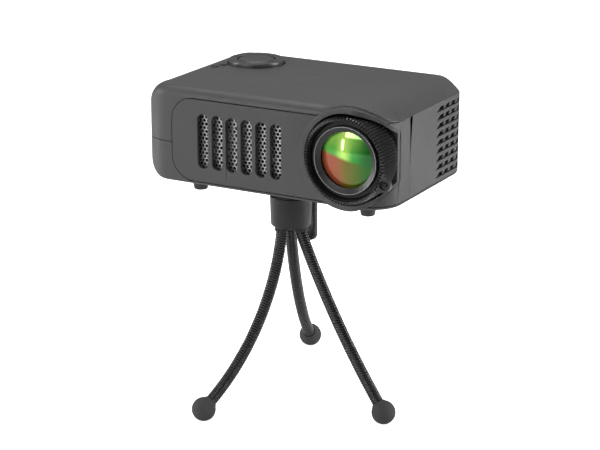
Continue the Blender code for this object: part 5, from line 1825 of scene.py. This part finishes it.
PAPER = Finish(
    "studio_paper", (0.88, 0.88, 0.88), 0.9,
    grain=400.0, strength=0.05, spread=0.01, marks=0.0, dust=0.0,
)
MIRROR = Finish("silvered_mirror", (0.85, 0.86, 0.88), 0.05, metallic=1.0, strength=0.02, marks=0.02)
GLASS = ClearGlass("optical_glass", (0.9, 0.95, 0.95))

CARRIED_OVER: dict[str, AnyFinish] = {
    "inner_plastic": BLACK,
    "coated_glass": GLASS,
    "clear_glass": GLASS,
    "mirror_glass": MIRROR,
    "sink_aluminium": SINK,
    "circuit_board": BOARD,
    "socket_steel": STEEL,
    "socket_plastic": BLACK,
    "speaker_steel": SPEAKER,
    "bush_brass": BRASS,
    "seat_nylon": NYLON,
}


def dress_carried_over(frame: dict) -> None:
    """Gives every CAD node that stays a finish by its slot.
    """
    slots = {part["node"]: part["material_slot"] for part in frame["record"]["subparts"]}
    for node, piece in frame["nodes"].items():
        finish = CARRIED_OVER.get(slots[node])
        if finish and not piece.hide_render:
            dress(piece, finish)
            LOG.info("%s keeps its CAD shape in %s", node, finish.name)


def main(frame: dict) -> None:
    """Builds the projector, its tripod and the studio.
    """
    logging.basicConfig(level=logging.INFO, format="%(message)s")
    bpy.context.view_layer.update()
    places = Places.read()
    Studio(places).camera()

    case = CaseBody(places)
    case.top_cover(CASE)
    case.bottom_cover(CASE)
    case.front_panel(CASE)
    case.side_panel(CASE)
    case.rear_panel(CASE)
    case.grille_mesh(MESH_METAL)

    trim = CaseTrim(places)
    trim.feet(RUBBER)
    trim.screws(SCREW)

    pad = ControlPad(places)
    pad.ring(KEYS)
    pad.ok(KEYS)
    pad.keys(BLACK)

    lens = LensSet(places)
    # BLACK also colours the pin in the tab's eye, as painted shade.
    lens.focus_ring(GRIP, BLACK)
    lens.retainer(RIM, CONE)
    axis = places.origin + places.lens
    # The lens finish paints reflections, highlights and shade into the glass's colour.
    painted_lens_reflection = LensPaintedReflection(
        "lens_painted_reflection",
        (0.1, 0.3, 0.1),
        0.06,
        metallic=0.3,
        coat=0.3,
        specular=0.3,
        strength=0.0,
        spread=0.02,
        marks=0.02,
        dust=0.0,
        centre=(axis.x, axis.y, axis.z),
    )
    lens.front_glass(painted_lens_reflection)

    joints = frame["joints"]
    legs = [GooseneckLeg.read(places, name, joints) for name in ("left", "right", "rear")]
    head = BallHead(places)
    head.body(HEAD)
    head.hub(HEAD, [leg.knuckles[0] for leg in legs])
    head.lever(LEVER)
    head.stud(CHROME)
    for leg in legs:
        leg.coil(COIL)
        leg.ball(BALL_RUBBER)

    dress_carried_over(frame)
    studio = Studio(places)
    studio.floor()
    studio.lights()


if __name__ == "__main__":
    main(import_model())
